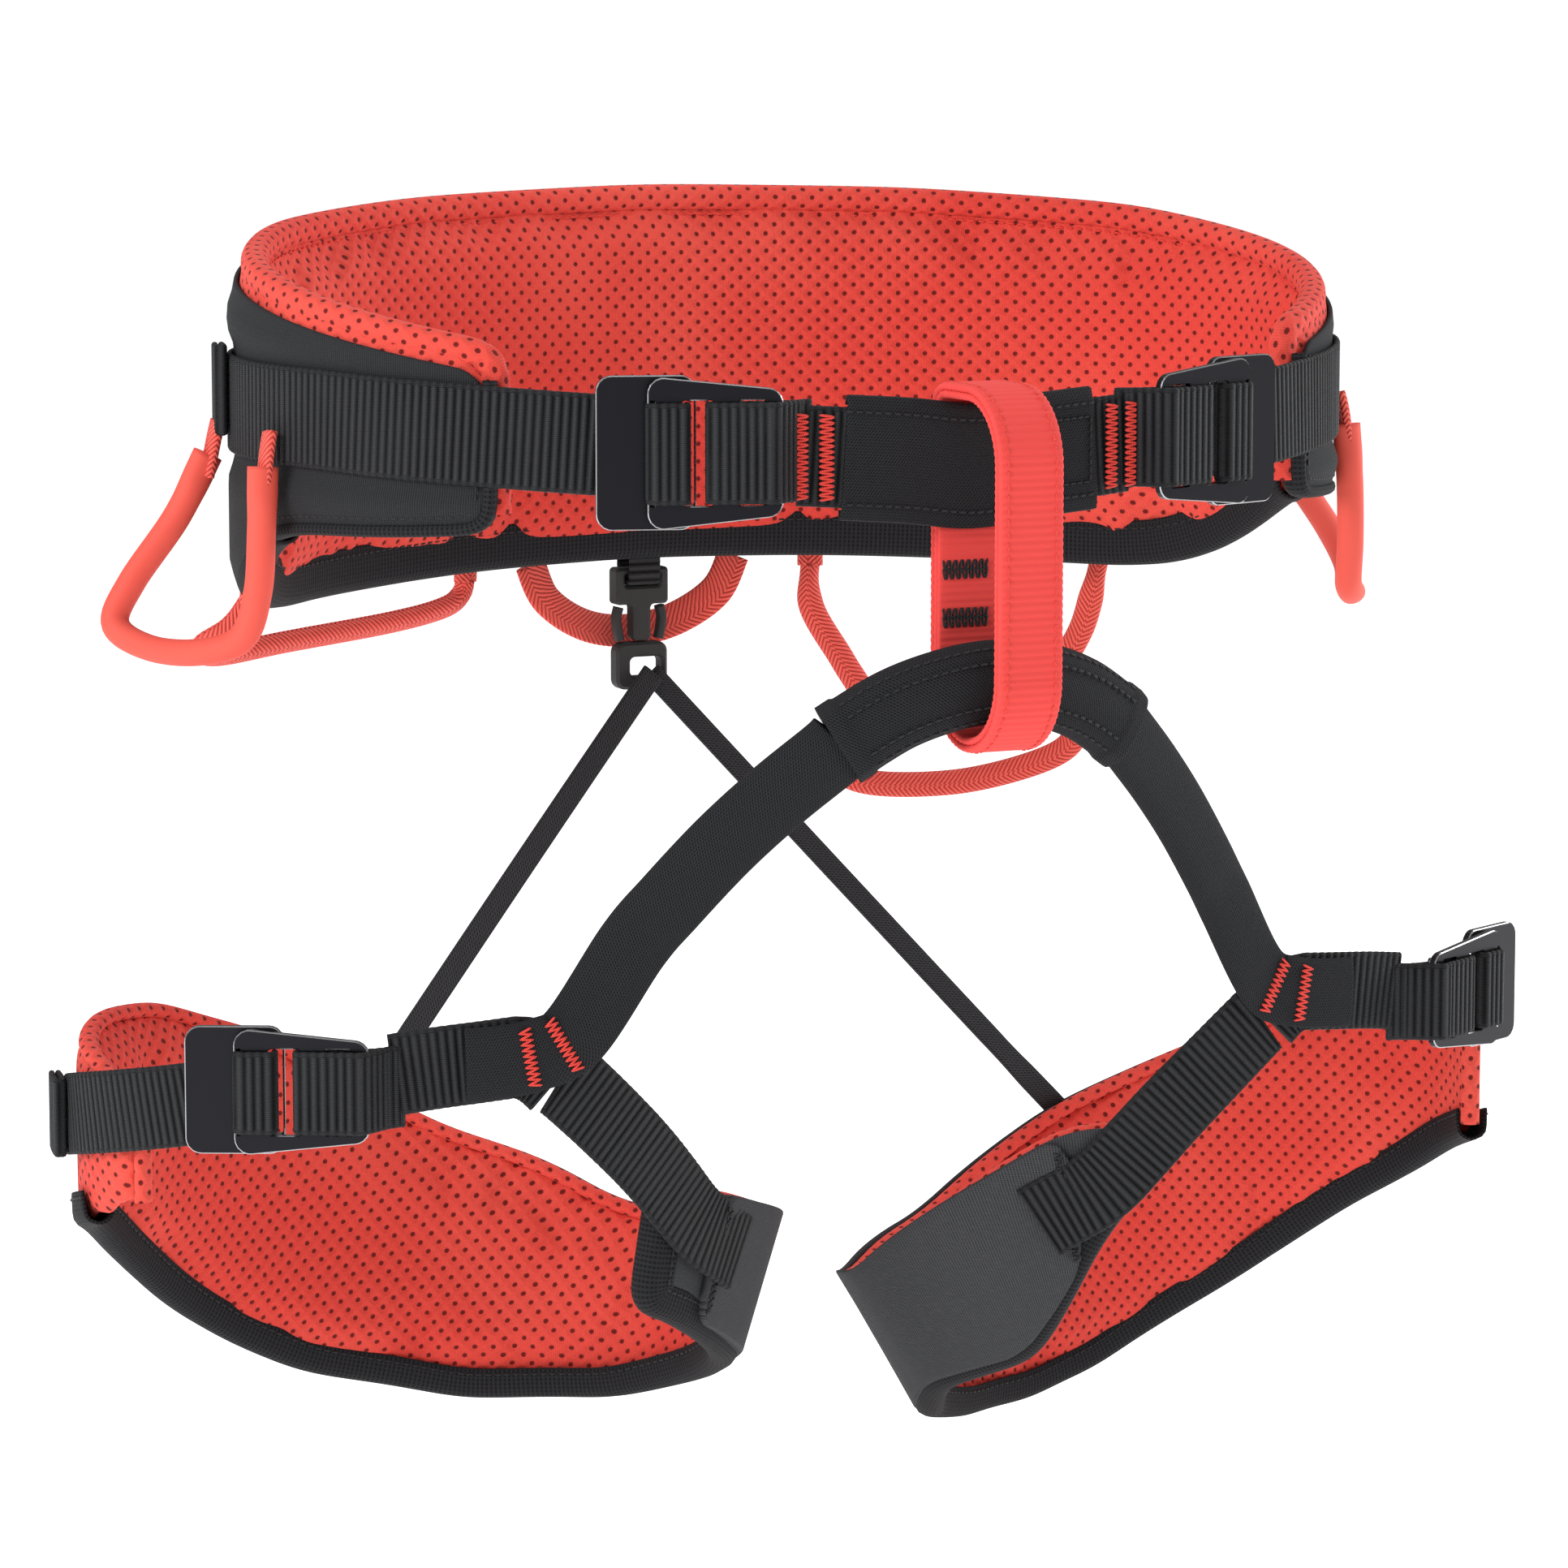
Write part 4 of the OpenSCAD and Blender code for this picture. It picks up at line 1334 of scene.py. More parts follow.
@dataclass
class Buckle:
    """Two-plate buckle: back plate, tilting front frame, and the webbing folded over its outer bar."""

    ring: Ring
    at: float
    z: float
    web: float
    height: float
    plate_near: float
    name: str
    parent: str
    finish: Finish
    plate_t: float = 2.4
    taper: float = 8.0
    chamfer: float = 0.3
    corner: float = 4.5
    plate_ends: tuple[float, float] = (5.2, 33.8)
    plate_slot: tuple[float, float] = (5.7, 10.6)
    frame_half: float = 19.4
    window: tuple[float, float] = (0.3, 9.5)
    groove: tuple[float, float] = (-14.4, -6.6)
    slit: tuple[float, float] = (17.3, 18.6)

    def build(self, maker: Maker, side: Side) -> None:
        """Builds the buckle on one side.

        Args:
            maker: where its pieces go.
            side: which side.
        """
        spot = self.ring.spot(self.at, self.z)
        h, w = self.height / 2, (self.web + 1) / 2
        near, inner, end = self.plate_near + self.plate_t + 1, h - self.taper / 2, self.frame_half
        back = [opening(self.plate_ends, h, self.corner), opening(self.plate_slot, w, 0.8)]
        front = [rounded_outline([(-end, -inner), (end, -h), (end, h), (-end, inner)], self.corner),
                 opening(self.window, w, 0.9), opening(self.groove, w, 0.9), opening(self.slit, w, 0.5)]
        word, frame_name = side.word, f"{self.name}_frame_{side.word}"
        for kind, outlines, offset, body in (("plate", back, self.plate_near, self.parent),
                                             ("frame", front, near, frame_name)):
            node = f"{self.name}_{kind}_{word}"
            shape = plate_mesh(f"{node}_metal", outlines, self.plate_t, self.chamfer, spot, offset, side)
            # The chamfer faces take the bright metal finish, a painted highlight.
            maker.piece(f"{node}_metal", shape, Finish.ANODISED, body, [node], "anodised_black",
                        [Finish.BRIGHT])
        y = near + self.plate_t
        line = [(7.9, near - 0.6), (7.9, near + 1.2), (8.2, y + 0.8), (9.6, y + 1.25), (13.5, y + 1.3),
                (17.3, y + 1.25),
                (18.6, y + 0.5), (18.8, near + 1.2), (18.8, near - 0.6)]
        strap = strap_loop(self.ring, self.at, self.z, line, self.web, WEB_FOLDED_T)
        maker.piece(f"{self.name}_fold_{word}_strap", [strap.mirrored(side)], self.finish, frame_name,
                    [f"{self.name}_fold_{word}"], "webbing_black")

    def bar_loop(self, tail: tuple[float, float]) -> Patch:
        """Webbing that comes from the belt, goes round the inner bar and returns.

        Args:
            tail: angle and offset where both layers meet the belt's own webbing.

        Returns:
            The strap.
        """
        centre, along, out = self.ring.spot(self.at, self.z)
        d = self.ring.at(tail[0], tail[1], self.z) - centre
        x, y = float(d @ along), float(d @ out)
        near = self.plate_near + self.plate_t + 1
        front, back = near + self.plate_t + 1.3, near - 1.9
        line = [(x, y), (x + 2.5, y + 0.4), (-17.5, front), (-12, front + 0.1), (-4, front),
                (0.6, front - 0.3), (1.6, front - 1.2),
                (1.7, (front + back) / 2), (1.6, back + 0.8), (0.4, back - 0.1), (-8, back),
                (-19, back - 0.6), (x, y - 0.9)]
        return strap_loop(self.ring, self.at, self.z, line, self.web, WEB_FOLDED_T)


@dataclass
class TieIn:
    """Front of the waist: the sewn bridge webbing between the buckles and the woven sleeve over it."""

    ring: Ring = WAIST
    web_w: float = 29.0

    def build(self, maker: Maker, buckle: Buckle) -> None:
        """Builds the bridge, its bar tacks and the sleeve."""
        band = belt_strap(self.ring, -17.5, 17.5, 7.0, WEB_MID, self.web_w)
        loop = buckle.bar_loop((16.4, 7.2))
        maker.piece("front_bridge_strap", [band, loop, loop.mirrored(Side.LEFT)], Finish.WEB_WIDE, "waist",
                    ["front_bridge"], "webbing_black")
        tacks = []
        for angle in (-17.6, -15.0, 15.2, 17.4):
            z = float(WEB_MID(np.array(angle)))
            run = self.ring.arc(np.array(angle))
            lift = 9.4 if abs(angle) < 17 else 10.2
            zig = np.stack([np.full(60, run), np.linspace(z - 12.4, z + 12.4, 60)], 1)
            path = self.ring.at(self.ring.angle(zig[:, 0]), lift, zig[:, 1])
            tacks.append(stitches(path, self.ring.outward(self.ring.angle(zig[:, 0])), 0.82, 4.6, 0.8, 0.5,
                                  lean=82))
        maker.piece("bridge_tacks_red", tacks, Finish.THREAD_RED, "waist", slot="webbing_red")
        t = self.ring.spaced(-13.2, 13.2, 1.5)
        dip = 1.6 * np.exp(-(self.ring.arc(t) / 13.0) ** 2)
        height = self.web_w + 5.6
        line = [(-height / 2 + 2, -3.2), (-height / 2, -2.6), (-height / 2 - 0.8, -1.4), (-height / 2 - 0.3,
                                                                                          -0.1),
                (-height / 2 + 2.5, 0.4), (-10, 0.35), (0, 0.45), (10, 0.35), (height / 2 - 2.5, 0.4),
                (height / 2 + 0.3, -0.1),
                (height / 2 + 0.8, -1.4), (height / 2, -2.6), (height / 2 - 2, -3.2)]
        path = self.ring.at(t, 8.9, WEB_MID(t) - dip)
        out = self.ring.outward(t)
        cover = sweep(path, out, thick_line(line, -0.8))
        maker.piece("tie_in_sleeve_cloth", [cover], Finish.SLEEVE, "waist", ["tie_in_sleeve"], "sleeve_black")
        rows = [stitches(path + out * 0.62 + np.array([0, 0, z]), out, 2.9, 2.1, 0.75) for z in (-13.3, 13.3)]
        box = self.ring.spaced(8.6, 12.6, 1.2)
        for z in (-9.5, 9.5):
            rows.append(stitches(self.ring.at(box, 9.6, WEB_MID(box) + z), self.ring.outward(box), 2.4, 1.9,
                                 0.7))
        for angle in (8.6, 12.6):
            z = np.linspace(-9.5, 9.5, 20) + WEB_MID(np.array(angle))
            rows.append(stitches(self.ring.at(np.full(20, angle), 9.6, z), self.ring.outward(np.full(20,
                                                                                                     angle)),
                                 2.4, 1.9, 0.7))
        maker.piece("tie_in_sleeve_stitches", rows, Finish.THREAD_BLACK, "waist", slot="sleeve_black")


@dataclass
class BelayLoop:
    """Red belay loop: layered webbing round both bridges, closed by black bar tacks."""

    y: float = -136.5
    top: float = 2.5
    low: float = -103.0
    depth: float = 45.0
    width: float = 20.5
    thick: float = 4.2

    def route(self, inset: float) -> Array:
        """The loop's middle line in its own plane.

        It has an arc at the foot, one at the front, and a tight one behind the bridge.

        Args:
            inset: how far the line lies inside the loop's outer face.

        Returns:
            Evenly spaced points round the loop.
        """
        r, tight = self.depth / 2, self.thick + 4
        arcs = [(0.0, self.low + r, r - inset, 180, 360, 60), (r - tight, self.top - tight, tight - inset, 0,
                                                               90, 14),
                (0.0, self.top - r, r - inset, 90, 180, 30)]
        points = []
        for x, z, radius, a0, a1, n in arcs:
            a = np.radians(np.linspace(a0, a1, n))
            points.append(np.stack([np.zeros(n), self.y + x + radius * np.cos(a), z + radius * np.sin(a)], 1))
        loop = evenly(np.concatenate(points + [points[0][:1]]), 0.5)[:-1]
        return soften(loop, 5, closed=True)

    def build(self, maker: Maker) -> None:
        """Builds the loop, its lapped layer and its stitching on the belay body."""
        path = self.route(self.thick / 2)
        centre = path.mean(0)
        along = tangents(path, True)
        out = np.cross(along, ACROSS)
        out *= np.sign(np.sum(out * (path - centre), 1, keepdims=True))
        layers = []
        for lift, thick in ((-1.18, 2.1), (0.98, 2.1)):
            layers.append(sweep(path + out * lift, out, flat_section(self.width, thick, 9), closed=True,
                                rib=0.34, pitch=2.2))
        back = (path[:, 1] > self.y + 10) & (path[:, 2] < -26) & (path[:, 2] > -88)
        lap, normal = path[back], -out[back]
        layers.append(sweep(lap + normal * 3.0, normal, flat_section(self.width - 0.4, 1.6, 9), rib=0.4,
                            pitch=2.2))
        maker.piece("belay_loop_webbing", layers, Finish.WEB_RED, "belay", ["belay_loop"], "webbing_red")
        tacks = []
        for z in (-52.0, -66.0):
            for row in (-1.2, 1.2):
                x = np.linspace(-9.0, 6.0, 24)
                line = np.stack([x, np.full(24, float(lap[:, 1].mean()) - 3.9), np.full(24, z + row)], 1)
                tacks.append(stitches(line, np.tile(FORWARD, (24, 1)), 1.05, 3.4, 0.85, 0.5, lean=80))
        maker.piece("belay_tacks_black", tacks, Finish.THREAD_BLACK, "belay", slot="webbing_black")
        rows = []
        for x in (-7.6, 7.6):
            rows.append(stitches(path + out * 2.1 + np.array([x, 0, 0]), out, 3.4, 2.5, 0.6, 0.4))
        maker.piece("belay_edge_stitches", rows, Finish.THREAD_RED, "belay", slot="webbing_red")


@dataclass
class GearLoops:
    """Moulded front loops, braided rear loops and the flat haul loop."""

    front: tuple = ((181, -23, -23.4), (182, -24, -42), (183, -23, -60), (186, -17, -74), (195, -4, -79),
                    (204, 14, -79),
                    (210, 26, -73), (204, 28, -61), (190, 27, -42), (181, 24, -23.4))
    rear_right: tuple = ((61, 118, -75), (62, 119, -90), (72, 116, -108), (79, 113, -122), (75, 110, -134),
                         (68, 108, -143),
                         (80, 105, -148), (108, 99, -148), (132, 88, -141), (141, 83, -133), (137, 82, -122),
                         (135, 83, -112),
                         (142, 79, -95), (146, 76, -74))
    rear_left: tuple = ((-61, 118, -75), (-62, 119, -80), (-69, 117, -84), (-90, 110, -87), (-130, 98, -90),
                        (-152, 91, -92),
                        (-161, 84, -91), (-164, 76, -87), (-158, 72, -82), (-152, 71, -74))
    haul: tuple = ((-36, 124, -72), (-30, 125, -84), (-16, 128, -93), (0, 130, -96), (16, 128, -93),
                   (30, 125, -84), (36, 124, -72))

    def tube(self, route: Sequence[Sequence[float]], section: Section, ref: Sequence[float],
             collar: float = 0.0) -> Patch:
        """A loop's tube: the section carried along a smooth curve, squeezed where it is sewn in.

        Args:
            route: the points that it passes through.
            section: its outline.
            ref: the direction that the outline's width keeps to.
            collar: how much thicker its ends are, as a share.

        Returns:
            The tube.
        """
        path = spline(route, 1.4)
        out = np.cross(tangents(path), np.array(ref, float))
        run = run_length(path)
        near = np.minimum(run, run[-1] - run)
        return sweep(path, out, section, grow=1 + collar * (1 - ease(near, 6, 16)),
                     flatten=1 - 0.25 * (1 - ease(near, 4, 14)))

    def tab(self, line: Sequence[Sequence[float]], out: Sequence[float], section: Section) -> Patch:
        """A sewn tab that holds the end of a loop: the section along a short line, facing out."""
        path = spline(line, 1.0)
        return sweep(path, np.tile(out, (len(path), 1)), section)

    def build(self, maker: Maker) -> None:
        """Builds the five loops, each on its own body, and the tabs on the waist."""
        for side in Side:
            name = f"front_gear_loop_{side.word}"
            loop = self.tube(self.front, oval_section(8.4, 7.8, 28, 2.2), (1, 0, 0.3), 0.1)
            maker.piece(name + "_moulded", [loop.mirrored(side)], Finish.MOULDED, name, [name], "moulded_red")
        for side, route, ref in ((Side.RIGHT, self.rear_right, (0.45, 0.9, 0)), (Side.LEFT, self.rear_left,
                                                                                 (0.35, 0.7, 0.6))):
            name = f"rear_gear_loop_{side.word}"
            maker.piece(name + "_braid", [self.tube(route, oval_section(5.6, 8.4, 20, 2.4), ref)],
                        Finish.BRAID, name, [name], "braid_red")
        ends = ([(178.2, -21.6, -13.5), (179.4, -22.4, -19), (181, -23, -30)],
                [(178.2, 22.6, -13.5), (179.4, 23.2, -19), (181.4, 24.2, -30)])
        tabs = [self.tab(line, (1.0, 0, 0), oval_section(7.4, 3.4, 16, 3.0)) for line in ends]
        for side in Side:
            maker.piece(f"front_loop_tabs_{side.word}", [t.mirrored(side) for t in tabs], Finish.BRAID,
                        "waist", slot="braid_red")
        rear = [[(x * 0.985, y * 0.985, z + 13), (x * 0.995, y * 0.995, z + 7), (x, y, z - 1)]
                for x, y, z in (self.rear_right[0], self.rear_right[-1], self.rear_left[0],
                                self.rear_left[-1])]
        rear = [self.tab(line, (*line[0][:2], 0.0), oval_section(8.4, 5.4, 16, 2.6)) for line in rear]
        maker.piece("rear_loop_tabs", rear, Finish.BRAID, "waist", slot="braid_red")
        path = spline(self.haul, 1.4)
        strap = sweep(path, np.cross(tangents(path), np.array([0, 0.94, -0.34])), oval_section(2.6, 11.0, 20,
                                                                                               3.0))
        maker.piece("haul_loop_tape", [strap], Finish.BRAID, "haul_loop", ["haul_loop"], "braid_red")


@dataclass
class RearClip:
    """Rear clip: webbing tab, slotted body, hook, two springy prongs, and the risers that it holds."""

    y: float = 119.0
    top: float = -75.0

    def plate(self, name: str, outlines: Sequence[Array], thick: float) -> bpy.types.Mesh:
        """A moulded plate centred on the clip, thick from front to back."""
        spot = (np.array([0.0, self.y, self.top]), ACROSS, FORWARD)
        return plate_mesh(name, outlines, thick, 0.9, spot, -thick / 2)

    def build(self, maker: Maker) -> None:
        """Builds the tab, the clip's parts and the risers."""
        line = [(self.y - 4.8, self.top + 9), (self.y - 4.9, self.top + 2), (self.y - 4.2, self.top - 3.2),
                (self.y - 2, self.top - 3.9),
                (self.y + 2, self.top - 3.9), (self.y + 4.2, self.top - 3.2), (self.y + 4.9, self.top + 2),
                (self.y + 4.8, self.top + 9)]
        path = spline([(0.0, y, z) for y, z in line], 0.7)
        out = np.cross(ACROSS, tangents(path))
        maker.piece("riser_tab_webbing", [sweep(path, out, flat_section(11.0, 1.5), rib=0.25, pitch=2.0)],
                    Finish.WEB_NARROW,
                    "waist", ["riser_tab"], "webbing_black")
        body = rounded_outline([(-9.2, -11), (-3, -11), (-3, -22.8), (3, -22.8), (3, -11), (9.2, -11),
                                (9.2, 1), (-9.2, 1)], 1.4)
        slot = rounded_outline([(-6, -5.1), (6, -5.1), (6, -1.1), (-6, -1.1)], 0.8)
        maker.piece("clip_body_moulded", self.plate("clip_body_moulded", [body, slot], 7.0), Finish.NYLON,
                    "waist",
                    ["clip_body"], "nylon_black", [Finish.NYLON])
        hook = rounded_outline([(-9, -38.7), (9, -38.7), (9, -23.4), (-9, -23.4)], 3.2)
        eye = rounded_outline([(-4.1, -34.6), (6.9, -34.6), (6.9, -28.2), (-4.1, -28.2)], 1.8)
        maker.piece("clip_hook_moulded", self.plate("clip_hook_moulded", [hook, eye], 6.2), Finish.NYLON,
                    "waist",
                    ["clip_hook"], "nylon_black", [Finish.NYLON])
        for side in Side:
            prong = spline([(6.8, self.y, self.top - 22.6), (7.6, self.y, self.top - 19), (8.0, self.y,
                                                                                           self.top - 15.5),
                            (7.2, self.y, self.top - 11.9)], 0.6)
            name = f"clip_prong_{side.word}"
            tube = sweep(prong, np.tile(FORWARD, (len(prong), 1)), oval_section(3.0, 4.0, 16, 3.0))
            maker.piece(name + "_moulded", [tube.mirrored(side)], Finish.NYLON, name, [name], "nylon_black")
        for side, end, back in ((Side.RIGHT, (121.0, 63.0, -249.0), 0.0), (Side.LEFT, (-112.0, 63.0, -223.0),
                                                                           2.2)):
            top = np.array([2.0, self.y - 4.8 - back, self.top - 33])
            path = evenly(np.stack([top, np.array(end)]), 2.5)
            path = path + np.array([0, 0.6, 0]) * np.sin(np.linspace(0, np.pi, len(path)))[:, None]
            turn = (end[0] - 2.0) / (end[2] + 108.0)
            lower = np.array(end) + [[2.1 - 4 * turn, 4.6, -4], [3.5 - 9 * turn, 7.6, -9], [4.0 - 20 * turn,
                                                                                            8.6, -20]]
            path = spline(np.concatenate([path[::6], lower]), 2.5)
            out = np.cross(tangents(path), ACROSS)
            strap = sweep(path, out, flat_section(7.6, 1.6, 9))
            maker.piece(f"riser_{side.word}_elastic", [strap], Finish.ELASTIC,
                        ("waist", "legs", tuple(path[2] * MM), tuple(path[-8] * MM)), [f"riser_{side.word}"],
                        "elastic_black")


LEG = Ring(105.0, 73.0, 125.0, -10.0, -250.0)
LEG_TOP = {
    Side.RIGHT: reader([(70, 38), (90, 44), (120, 39), (150, 19), (180, -2), (210, -31), (240, -41),
                        (270, -32), (300, -2),
                        (322, 20), (336, 21)], False),
    Side.LEFT: reader([(70, 45), (90, 55), (120, 61), (140, 59), (165, 44), (197, 10), (215, -1), (230, -14),
                       (250, -18),
                       (270, -15), (300, 0), (322, 11), (336, 11)], False)}
LEG_LOW = {
    Side.RIGHT: reader([(70, -2), (90, -10), (120, -34), (150, -64), (180, -90), (200, -97), (225, -96),
                        (250, -87), (270, -72),
                        (300, -56), (315, -36), (322, -22), (336, 3)], False),
    Side.LEFT: reader([(70, 12), (90, 6), (115, -3), (135, -22), (150, -38), (165, -52), (180, -64),
                       (210, -75), (240, -73),
                       (270, -60), (300, -44), (322, -29), (336, -20)], False)}
LEG_LEAN = {
    Side.RIGHT: reader([(70, 0), (125, 0), (180, 0.15), (220, 0.45), (270, 0.7), (300, 0.5), (320, 0.2),
                        (336, 0)], False, 8.0),
    Side.LEFT: reader([(70, 0), (125, 0), (200, 0.2), (270, 0.36), (310, 0.3), (336, 0.15)], False, 8.0)}


def leaning_ring(side: Side) -> Ring:
    """A leg loop's ring: it leans outwards by a share of the depth below its upper edge."""
    return replace(LEG, lean=lambda t, z: LEG_LEAN[side](t) * (LEG_TOP[side](t) - z))


LEG_WEB = reader([(-30, 2), (0, 60), (15, 58), (36, 53), (60, 46), (90, 38), (125, 28)], False, 3.0)
INNER_WEB = reader([(300, -30), (318, -8), (328, 2), (340, 26), (350, 44), (357, 56)], False, 3.0)


@dataclass
class LegLoop:
    """One leg loop: mesh pad, heather shell, binding round its edges, and the webbing that closes it."""

    side: Side
    ring: Ring = LEG
    web_w: float = 24.0
    web_offset: float = 6.0

    def put(self, maker: Maker, name: str, patches: Sequence[Patch], finish: Finish, node: str | None,
            slot: str) -> bpy.types.Object:
        """Adds a piece on this side of the legs body.

        Args:
            maker: where it goes.
            name: its name less the side.
            patches: its shape on the right-hand leg.
            finish: its finish.
            node: the CAD node that it replaces, less the side.
            slot: the record's material slot.

        Returns:
            The object.
        """
        word = self.side.word
        return maker.piece(f"{name}_{word}", [p.mirrored(self.side) for p in patches], finish, "legs",
                           [f"{node}_{word}"] if node else [], slot)

    def pad(self) -> Cushion:
        """The pad's own form, on the right-hand leg."""
        return Cushion(leaning_ring(self.side), 70.0, 336.0, LEG_TOP[self.side], LEG_LOW[self.side], -3.5,
                       3.5, 14.0, 10.0,
                       thin_rim=0.45)

    def build(self, maker: Maker, buckle: Buckle) -> None:
        """Builds every piece of the leg loop but its buckle."""
        pad, word = self.pad(), self.side.word
        mesh = pad.puffed(f"leg_pad_{word}_mesh", 4.0, 3.5)
        if self.side is Side.LEFT:
            write_points(mesh, read_points(mesh) * [-1, 1, 1])
            mesh.flip_normals()
        piece = maker.piece(f"leg_pad_{word}_mesh", mesh, Finish.MESH, "legs", [f"leg_pad_{word}"],
                            "mesh_red")
        subdivide(piece)
        path, out = pad.along("start top", 1.8, -0.4, 5)
        self.put(maker, "leg_rim", [sweep(path, out, oval_section(4.4, 6.0, 16))], Finish.MESH, None,
                 "mesh_red")
        top, low = LEG_TOP[self.side], LEG_LOW[self.side]
        shell = Cushion(pad.ring, 128.0, 335.4, lambda t: top(t) - 0.5, lambda t: low(t) + 1.0, 3.7, 4.8,
                        13.0, 9.0)
        cover = Cushion(pad.ring, 255.0, 321.5, lambda t: top(t) - 0.9, lambda t: low(t) + 1.6, 4.6, 5.3,
                        1.0, 7.0,
                        bulge=lambda t, z: 2.4 * ease(t, 282, 304))
        self.put(maker, "leg_shell_cloth", [shell.patch(3.0, 16), cover.patch(2.0, 16)], Finish.HEATHER,
                 "leg_shell", "shell_grey")
        edge, face = cover.along("rise", 1.6, 7.9, 3, 1.0)
        tack = [stitches(edge, face, 2.4, 1.8), stitches(*cover.along("rise", 3.0, 7.95, 3, 1.0), 1.1, 2.2,
                                                         0.6, 0.4, lean=70)]
        self.put(maker, "leg_cover_stitches", tack, Finish.THREAD_BLACK, None, "shell_grey")
        t, z = pad.line("low rise", 0.4, 6)
        first = 71.5 if self.side is Side.RIGHT else 88.0
        path, out = pad.ring.at(t[t > first], 0.0, z[t > first]), pad.ring.outward(t[t > first])
        tape = sweep(path, out, tape_fold(8.4, 5.3, 4.5))
        self.put(maker, "leg_binding_tape", [tape], Finish.TAPE, "leg_binding", "binding_black")
        side = np.cross(tangents(path), out)
        rows = [stitches(path + out * lift - side * 6.4, out * way, 2.9, 2.1) for lift, way in ((5.4, 1.0),
                                                                                                (-4.7, -1.0))]
        self.put(maker, "leg_binding_stitches", rows, Finish.THREAD_BLACK, None, "binding_black")
        for name, node, t0, t1, mid in (("leg_strap_webbing", "leg_strap", 42.0, 122.0, LEG_WEB),
                                        ("inner_strap_webbing", "inner_strap", 317.0, 355.0, INNER_WEB)):
            strap = belt_strap(self.ring, t0, t1, self.web_offset, mid, self.web_w)
            self.put(maker, name, [strap], Finish.WEB_NARROW, node, "webbing_black")
        link = belt_strap(self.ring, -4.0, 22.0, self.web_offset, LEG_WEB, self.web_w)
        self.put(maker, "leg_link_webbing", [link, buckle.bar_loop((20.4, 6.2))], Finish.WEB_NARROW,
                 "leg_link", "webbing_black")
        z = float(LEG_WEB(np.array(99.0)))
        line = [(8, 8.2), (2, 8.0), (-4.5, 8.1), (-5.6, 8.7), (-5.6, 9.6), (-4.5, 10.2), (2, 10.3), (8, 10.1)]
        self.put(maker, "leg_tail_fold", [strap_loop(self.ring, 99.0, z, line, self.web_w - 0.4, 1.6)],
                 Finish.WEB_NARROW,
                 "leg_tail", "webbing_black")


@dataclass
class LegBridge:
    """Woven sleeve that hangs in the belay loop, and the two tubular arms that run down to the leg loops."""

    y: float = -136.5
    mid: float = -83.0
    knee: tuple[float, float, float] = (101.0, -96.0, -164.0)

    def half(self) -> list[tuple[float, float, float]]:
        """The sleeve's route from its middle to its right-hand end."""
        return [(0, self.y, self.mid), (14, self.y + 0.5, self.mid - 1.5), (30, self.y + 4, self.mid - 7),
                (46, self.y + 9, self.mid - 17)]

    def build(self, maker: Maker) -> None:
        """Builds the sleeve with its hems and seams, and both arms with their bar tacks."""
        half = self.half()
        path = spline([(-x, y, z) for x, y, z in half[:0:-1]] + half, 1.2)
        out = np.cross(tangents(path), UP)
        run = run_length(path)
        near = np.minimum(run, run[-1] - run)
        hem = 1 + 0.05 * (1 - ease(near, 5.0, 6.2))
        turn = np.linspace(0, 2 * np.pi, 40, endpoint=False)
        ridged = oval_section(24.0, 14.4, 40, 2.3)
        ripple = 1 + 0.022 * np.cos(8 * turn)
        sleeve = sweep(path, out, Section(ridged.across * ripple, ridged.lift * ripple, ridged.pattern),
                       grow=hem)
        maker.piece("bridge_sleeve_cloth", [sleeve], Finish.SLEEVE, "legs", ["bridge_sleeve"], "sleeve_black")
        side = np.cross(tangents(path), unit(out))
        rows = []
        for angle in (35, 62, 118, 145, 215, 242, 298, 325):
            a = math.radians(angle)
            c, s = math.cos(a), math.sin(a)
            shell = (path + side * 12.2 * math.copysign(abs(c) ** 0.87, c)
                     + unit(out) * 7.4 * math.copysign(abs(s) ** 0.87, s))
            face = side[5:-5] * c + unit(out)[5:-5] * s * 1.6
            rows.append(stitches(shell[5:-5], face, 3.0, 2.1, 0.75))
        maker.piece("bridge_sleeve_stitches", rows, Finish.THREAD_BLACK, "legs", slot="sleeve_black")
        start = np.array(half[-1]) + [2, 1, -2.4]
        knee = np.array(self.knee)
        share = np.array([-0.06, 0, 0.25, 0.5, 0.75, 0.93])[:, None]
        run_in = start + share * (knee - start) + np.array([0, 0, 4.0]) * np.sin(np.pi * np.clip(share, 0, 1))
        tail = [LEG.at(t, o, z) for t, o, z in ((-6.0, 10.6, 66.0), (0.0, 9.3, 60.5), (6.0, 8.6, 59.0),
                                                (11.0, 8.3, 58.6))]
        path = spline(np.concatenate([run_in, tail]), 0.9)
        run = run_length(path)
        blend = ease(run / run[-1], 0.62, 0.92)[:, None]
        ref = np.array([0.68, 0.22, 0.68]) * (1 - blend) + UP * blend
        out = unit(np.cross(ref, tangents(path)))
        flat = 1 - 0.62 * ease(run / run[-1], 0.55, 0.86)
        arm = sweep(path, out, oval_section(21.5, 7.0, 32, 2.4), flatten=flat)
        for side_ in Side:
            maker.piece(f"bridge_arm_{side_.word}_tube", [arm.mirrored(side_)], Finish.SLEEVE, "legs",
                        [f"bridge_arm_{side_.word}"], "sleeve_black")
            tacks = []
            for at in (0.80, 0.87):
                i = int(at * len(path))
                across = np.cross(tangents(path), out)[i]
                n = out[i] * np.sign(out[i] @ FORWARD)
                line = path[i] + across * np.linspace(-8.5, 8.5, 30)[:, None] + n * (3.5 * flat[i] + 0.2)
                tacks.append(stitches(line, np.tile(n, (30, 1)), 0.85, 4.2, 0.8, 0.5,
                                      lean=75).mirrored(side_))
            maker.piece(f"arm_tacks_{side_.word}", tacks, Finish.THREAD_RED, "legs", slot="webbing_red")


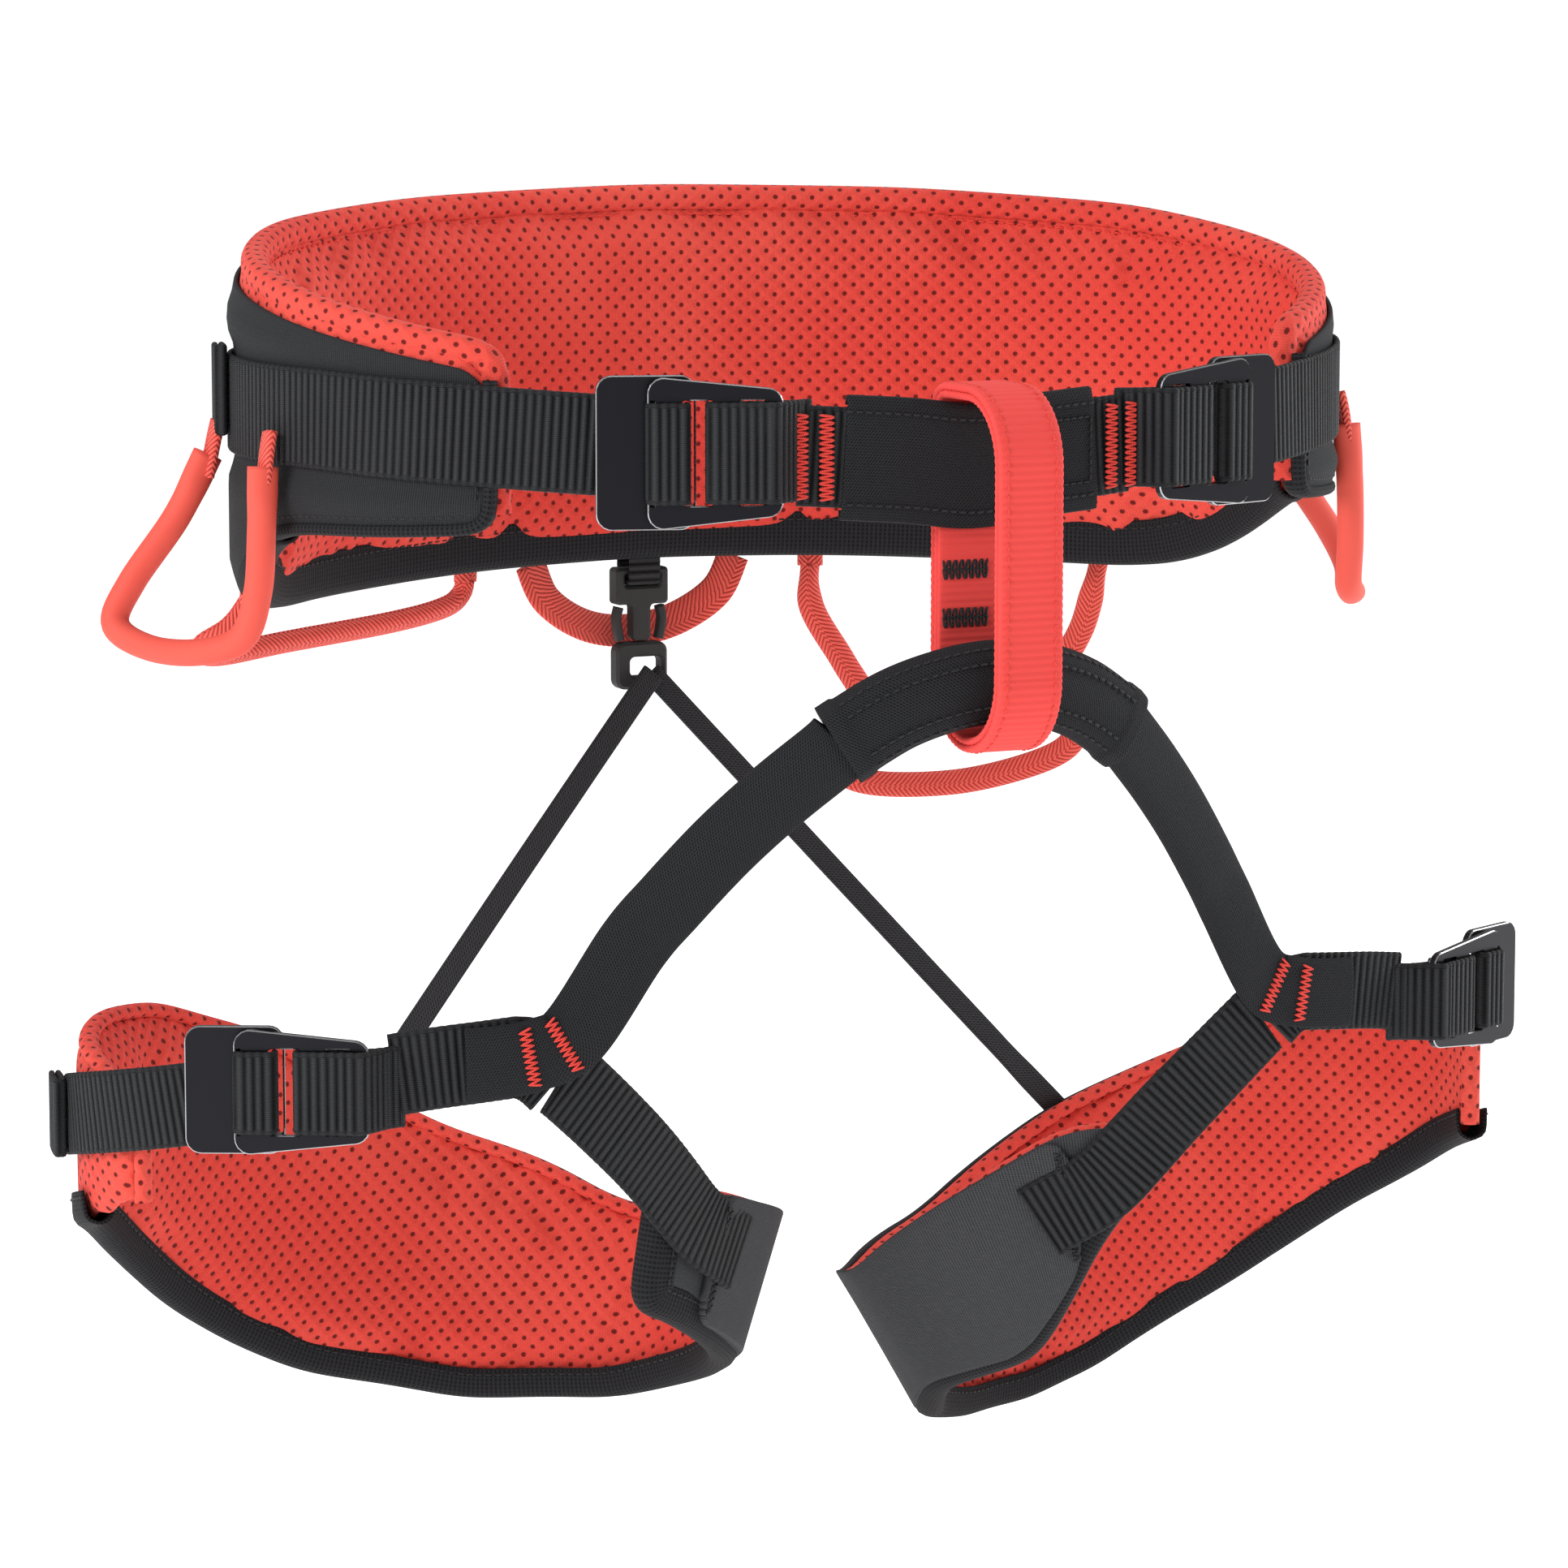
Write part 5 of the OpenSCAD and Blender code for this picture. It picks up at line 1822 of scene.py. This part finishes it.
@dataclass
class Studio:
    """Plain pale floor, soft lights and the camera."""

    azimuth: float = -25.0
    elevation: float = 8.0
    distance: float = 1.9
    target: tuple[float, float, float] = (-0.003, 0.001, -0.130)
    frame_width: float = 0.483
    sensor: float = 36.0
    floor_z: float = -0.362
    floor_half: float = 90.0

    def lamp(self, name: str, place: tuple[float, float, float], size: float, power: float,
             tint: Colour = (1, 1, 1)) -> None:
        """A square soft lamp that faces the harness."""
        light = bpy.data.lights.new(name, "AREA")
        light.size, light.energy, light.color = size, power, tint
        holder = bpy.data.objects.new(name, light)
        holder.location = place
        holder.rotation_euler = (Vector(self.target) - Vector(place)).to_track_quat("-Z", "Y").to_euler()
        bpy.context.scene.collection.objects.link(holder)

    def build(self) -> None:
        """Sets the camera, world, lamps and floor."""
        scene = bpy.context.scene
        a, e = math.radians(self.azimuth), math.radians(self.elevation)
        back = Vector((math.sin(a) * math.cos(e), -math.cos(a) * math.cos(e), math.sin(e)))
        camera = bpy.data.objects.new("camera", bpy.data.cameras.new("camera"))
        camera.data.sensor_width = camera.data.sensor_height = self.sensor
        camera.data.lens = self.sensor * self.distance / self.frame_width
        camera.location = Vector(self.target) + back * self.distance
        camera.rotation_euler = (-back).to_track_quat("-Z", "Y").to_euler()
        scene.collection.objects.link(camera)
        scene.camera = camera
        scene.view_settings.view_transform = "Standard"
        world = bpy.data.worlds.new("studio")
        world.use_nodes = True
        shade = world.node_tree.nodes["Background"]
        shade.inputs[0].default_value, shade.inputs[1].default_value = (1, 1, 1, 1), 0.42
        scene.world = world
        self.lamp("left", (-1.7, -0.5, 0.7), 0.9, 24.0)
        self.lamp("right", (1.8, -0.1, 0.6), 0.9, 22.0)
        self.lamp("front", (-0.5, -2.2, 1.6), 1.2, 7.0)
        self.lamp("top", (0.1, 0.5, 1.9), 1.4, 12.0)
        floor = bpy.data.meshes.new("floor")
        corners = [(x * self.floor_half, y * self.floor_half, self.floor_z)
                   for x, y in ((-1, -1), (1, -1), (1, 1), (-1, 1))]
        floor.from_pydata(corners, [], [(0, 1, 2, 3)])
        plane = bpy.data.objects.new("floor", floor)
        p = Paint("floor_pale")
        floor.materials.append(p.done((0.93, 0.93, 0.93), 0.9, Emission_Color=(1, 1, 1, 1),
                                      Emission_Strength=0.62,
                                      Specular_IOR_Level=0.0))
        scene.collection.objects.link(plane)


def main() -> None:
    """Builds the harness piece by piece, then the studio round it."""
    logging.basicConfig(level=logging.INFO, format="%(name)s %(message)s")
    maker = Maker()
    Studio().build()
    WaistBelt().build(maker)
    waist_buckle = Buckle(WAIST, 26.0, -16.0, 29.0, 44.0, 8.9, "waist", "waist", Finish.WEB_WIDE)
    leg_buckle = Buckle(LEG, 36.0, 53.0, 24.0, 37.0, 8.1, "leg", "legs", Finish.WEB_NARROW)
    for side in Side:
        waist_buckle.build(maker, side)
        leg_buckle.build(maker, side)
    TieIn().build(maker, waist_buckle)
    BelayLoop().build(maker)
    GearLoops().build(maker)
    RearClip().build(maker)
    for side in Side:
        LegLoop(side).build(maker, leg_buckle)
    LegBridge().build(maker)
    LOG.info("%d pieces", maker.made)


if __name__ == "__main__":
    main()
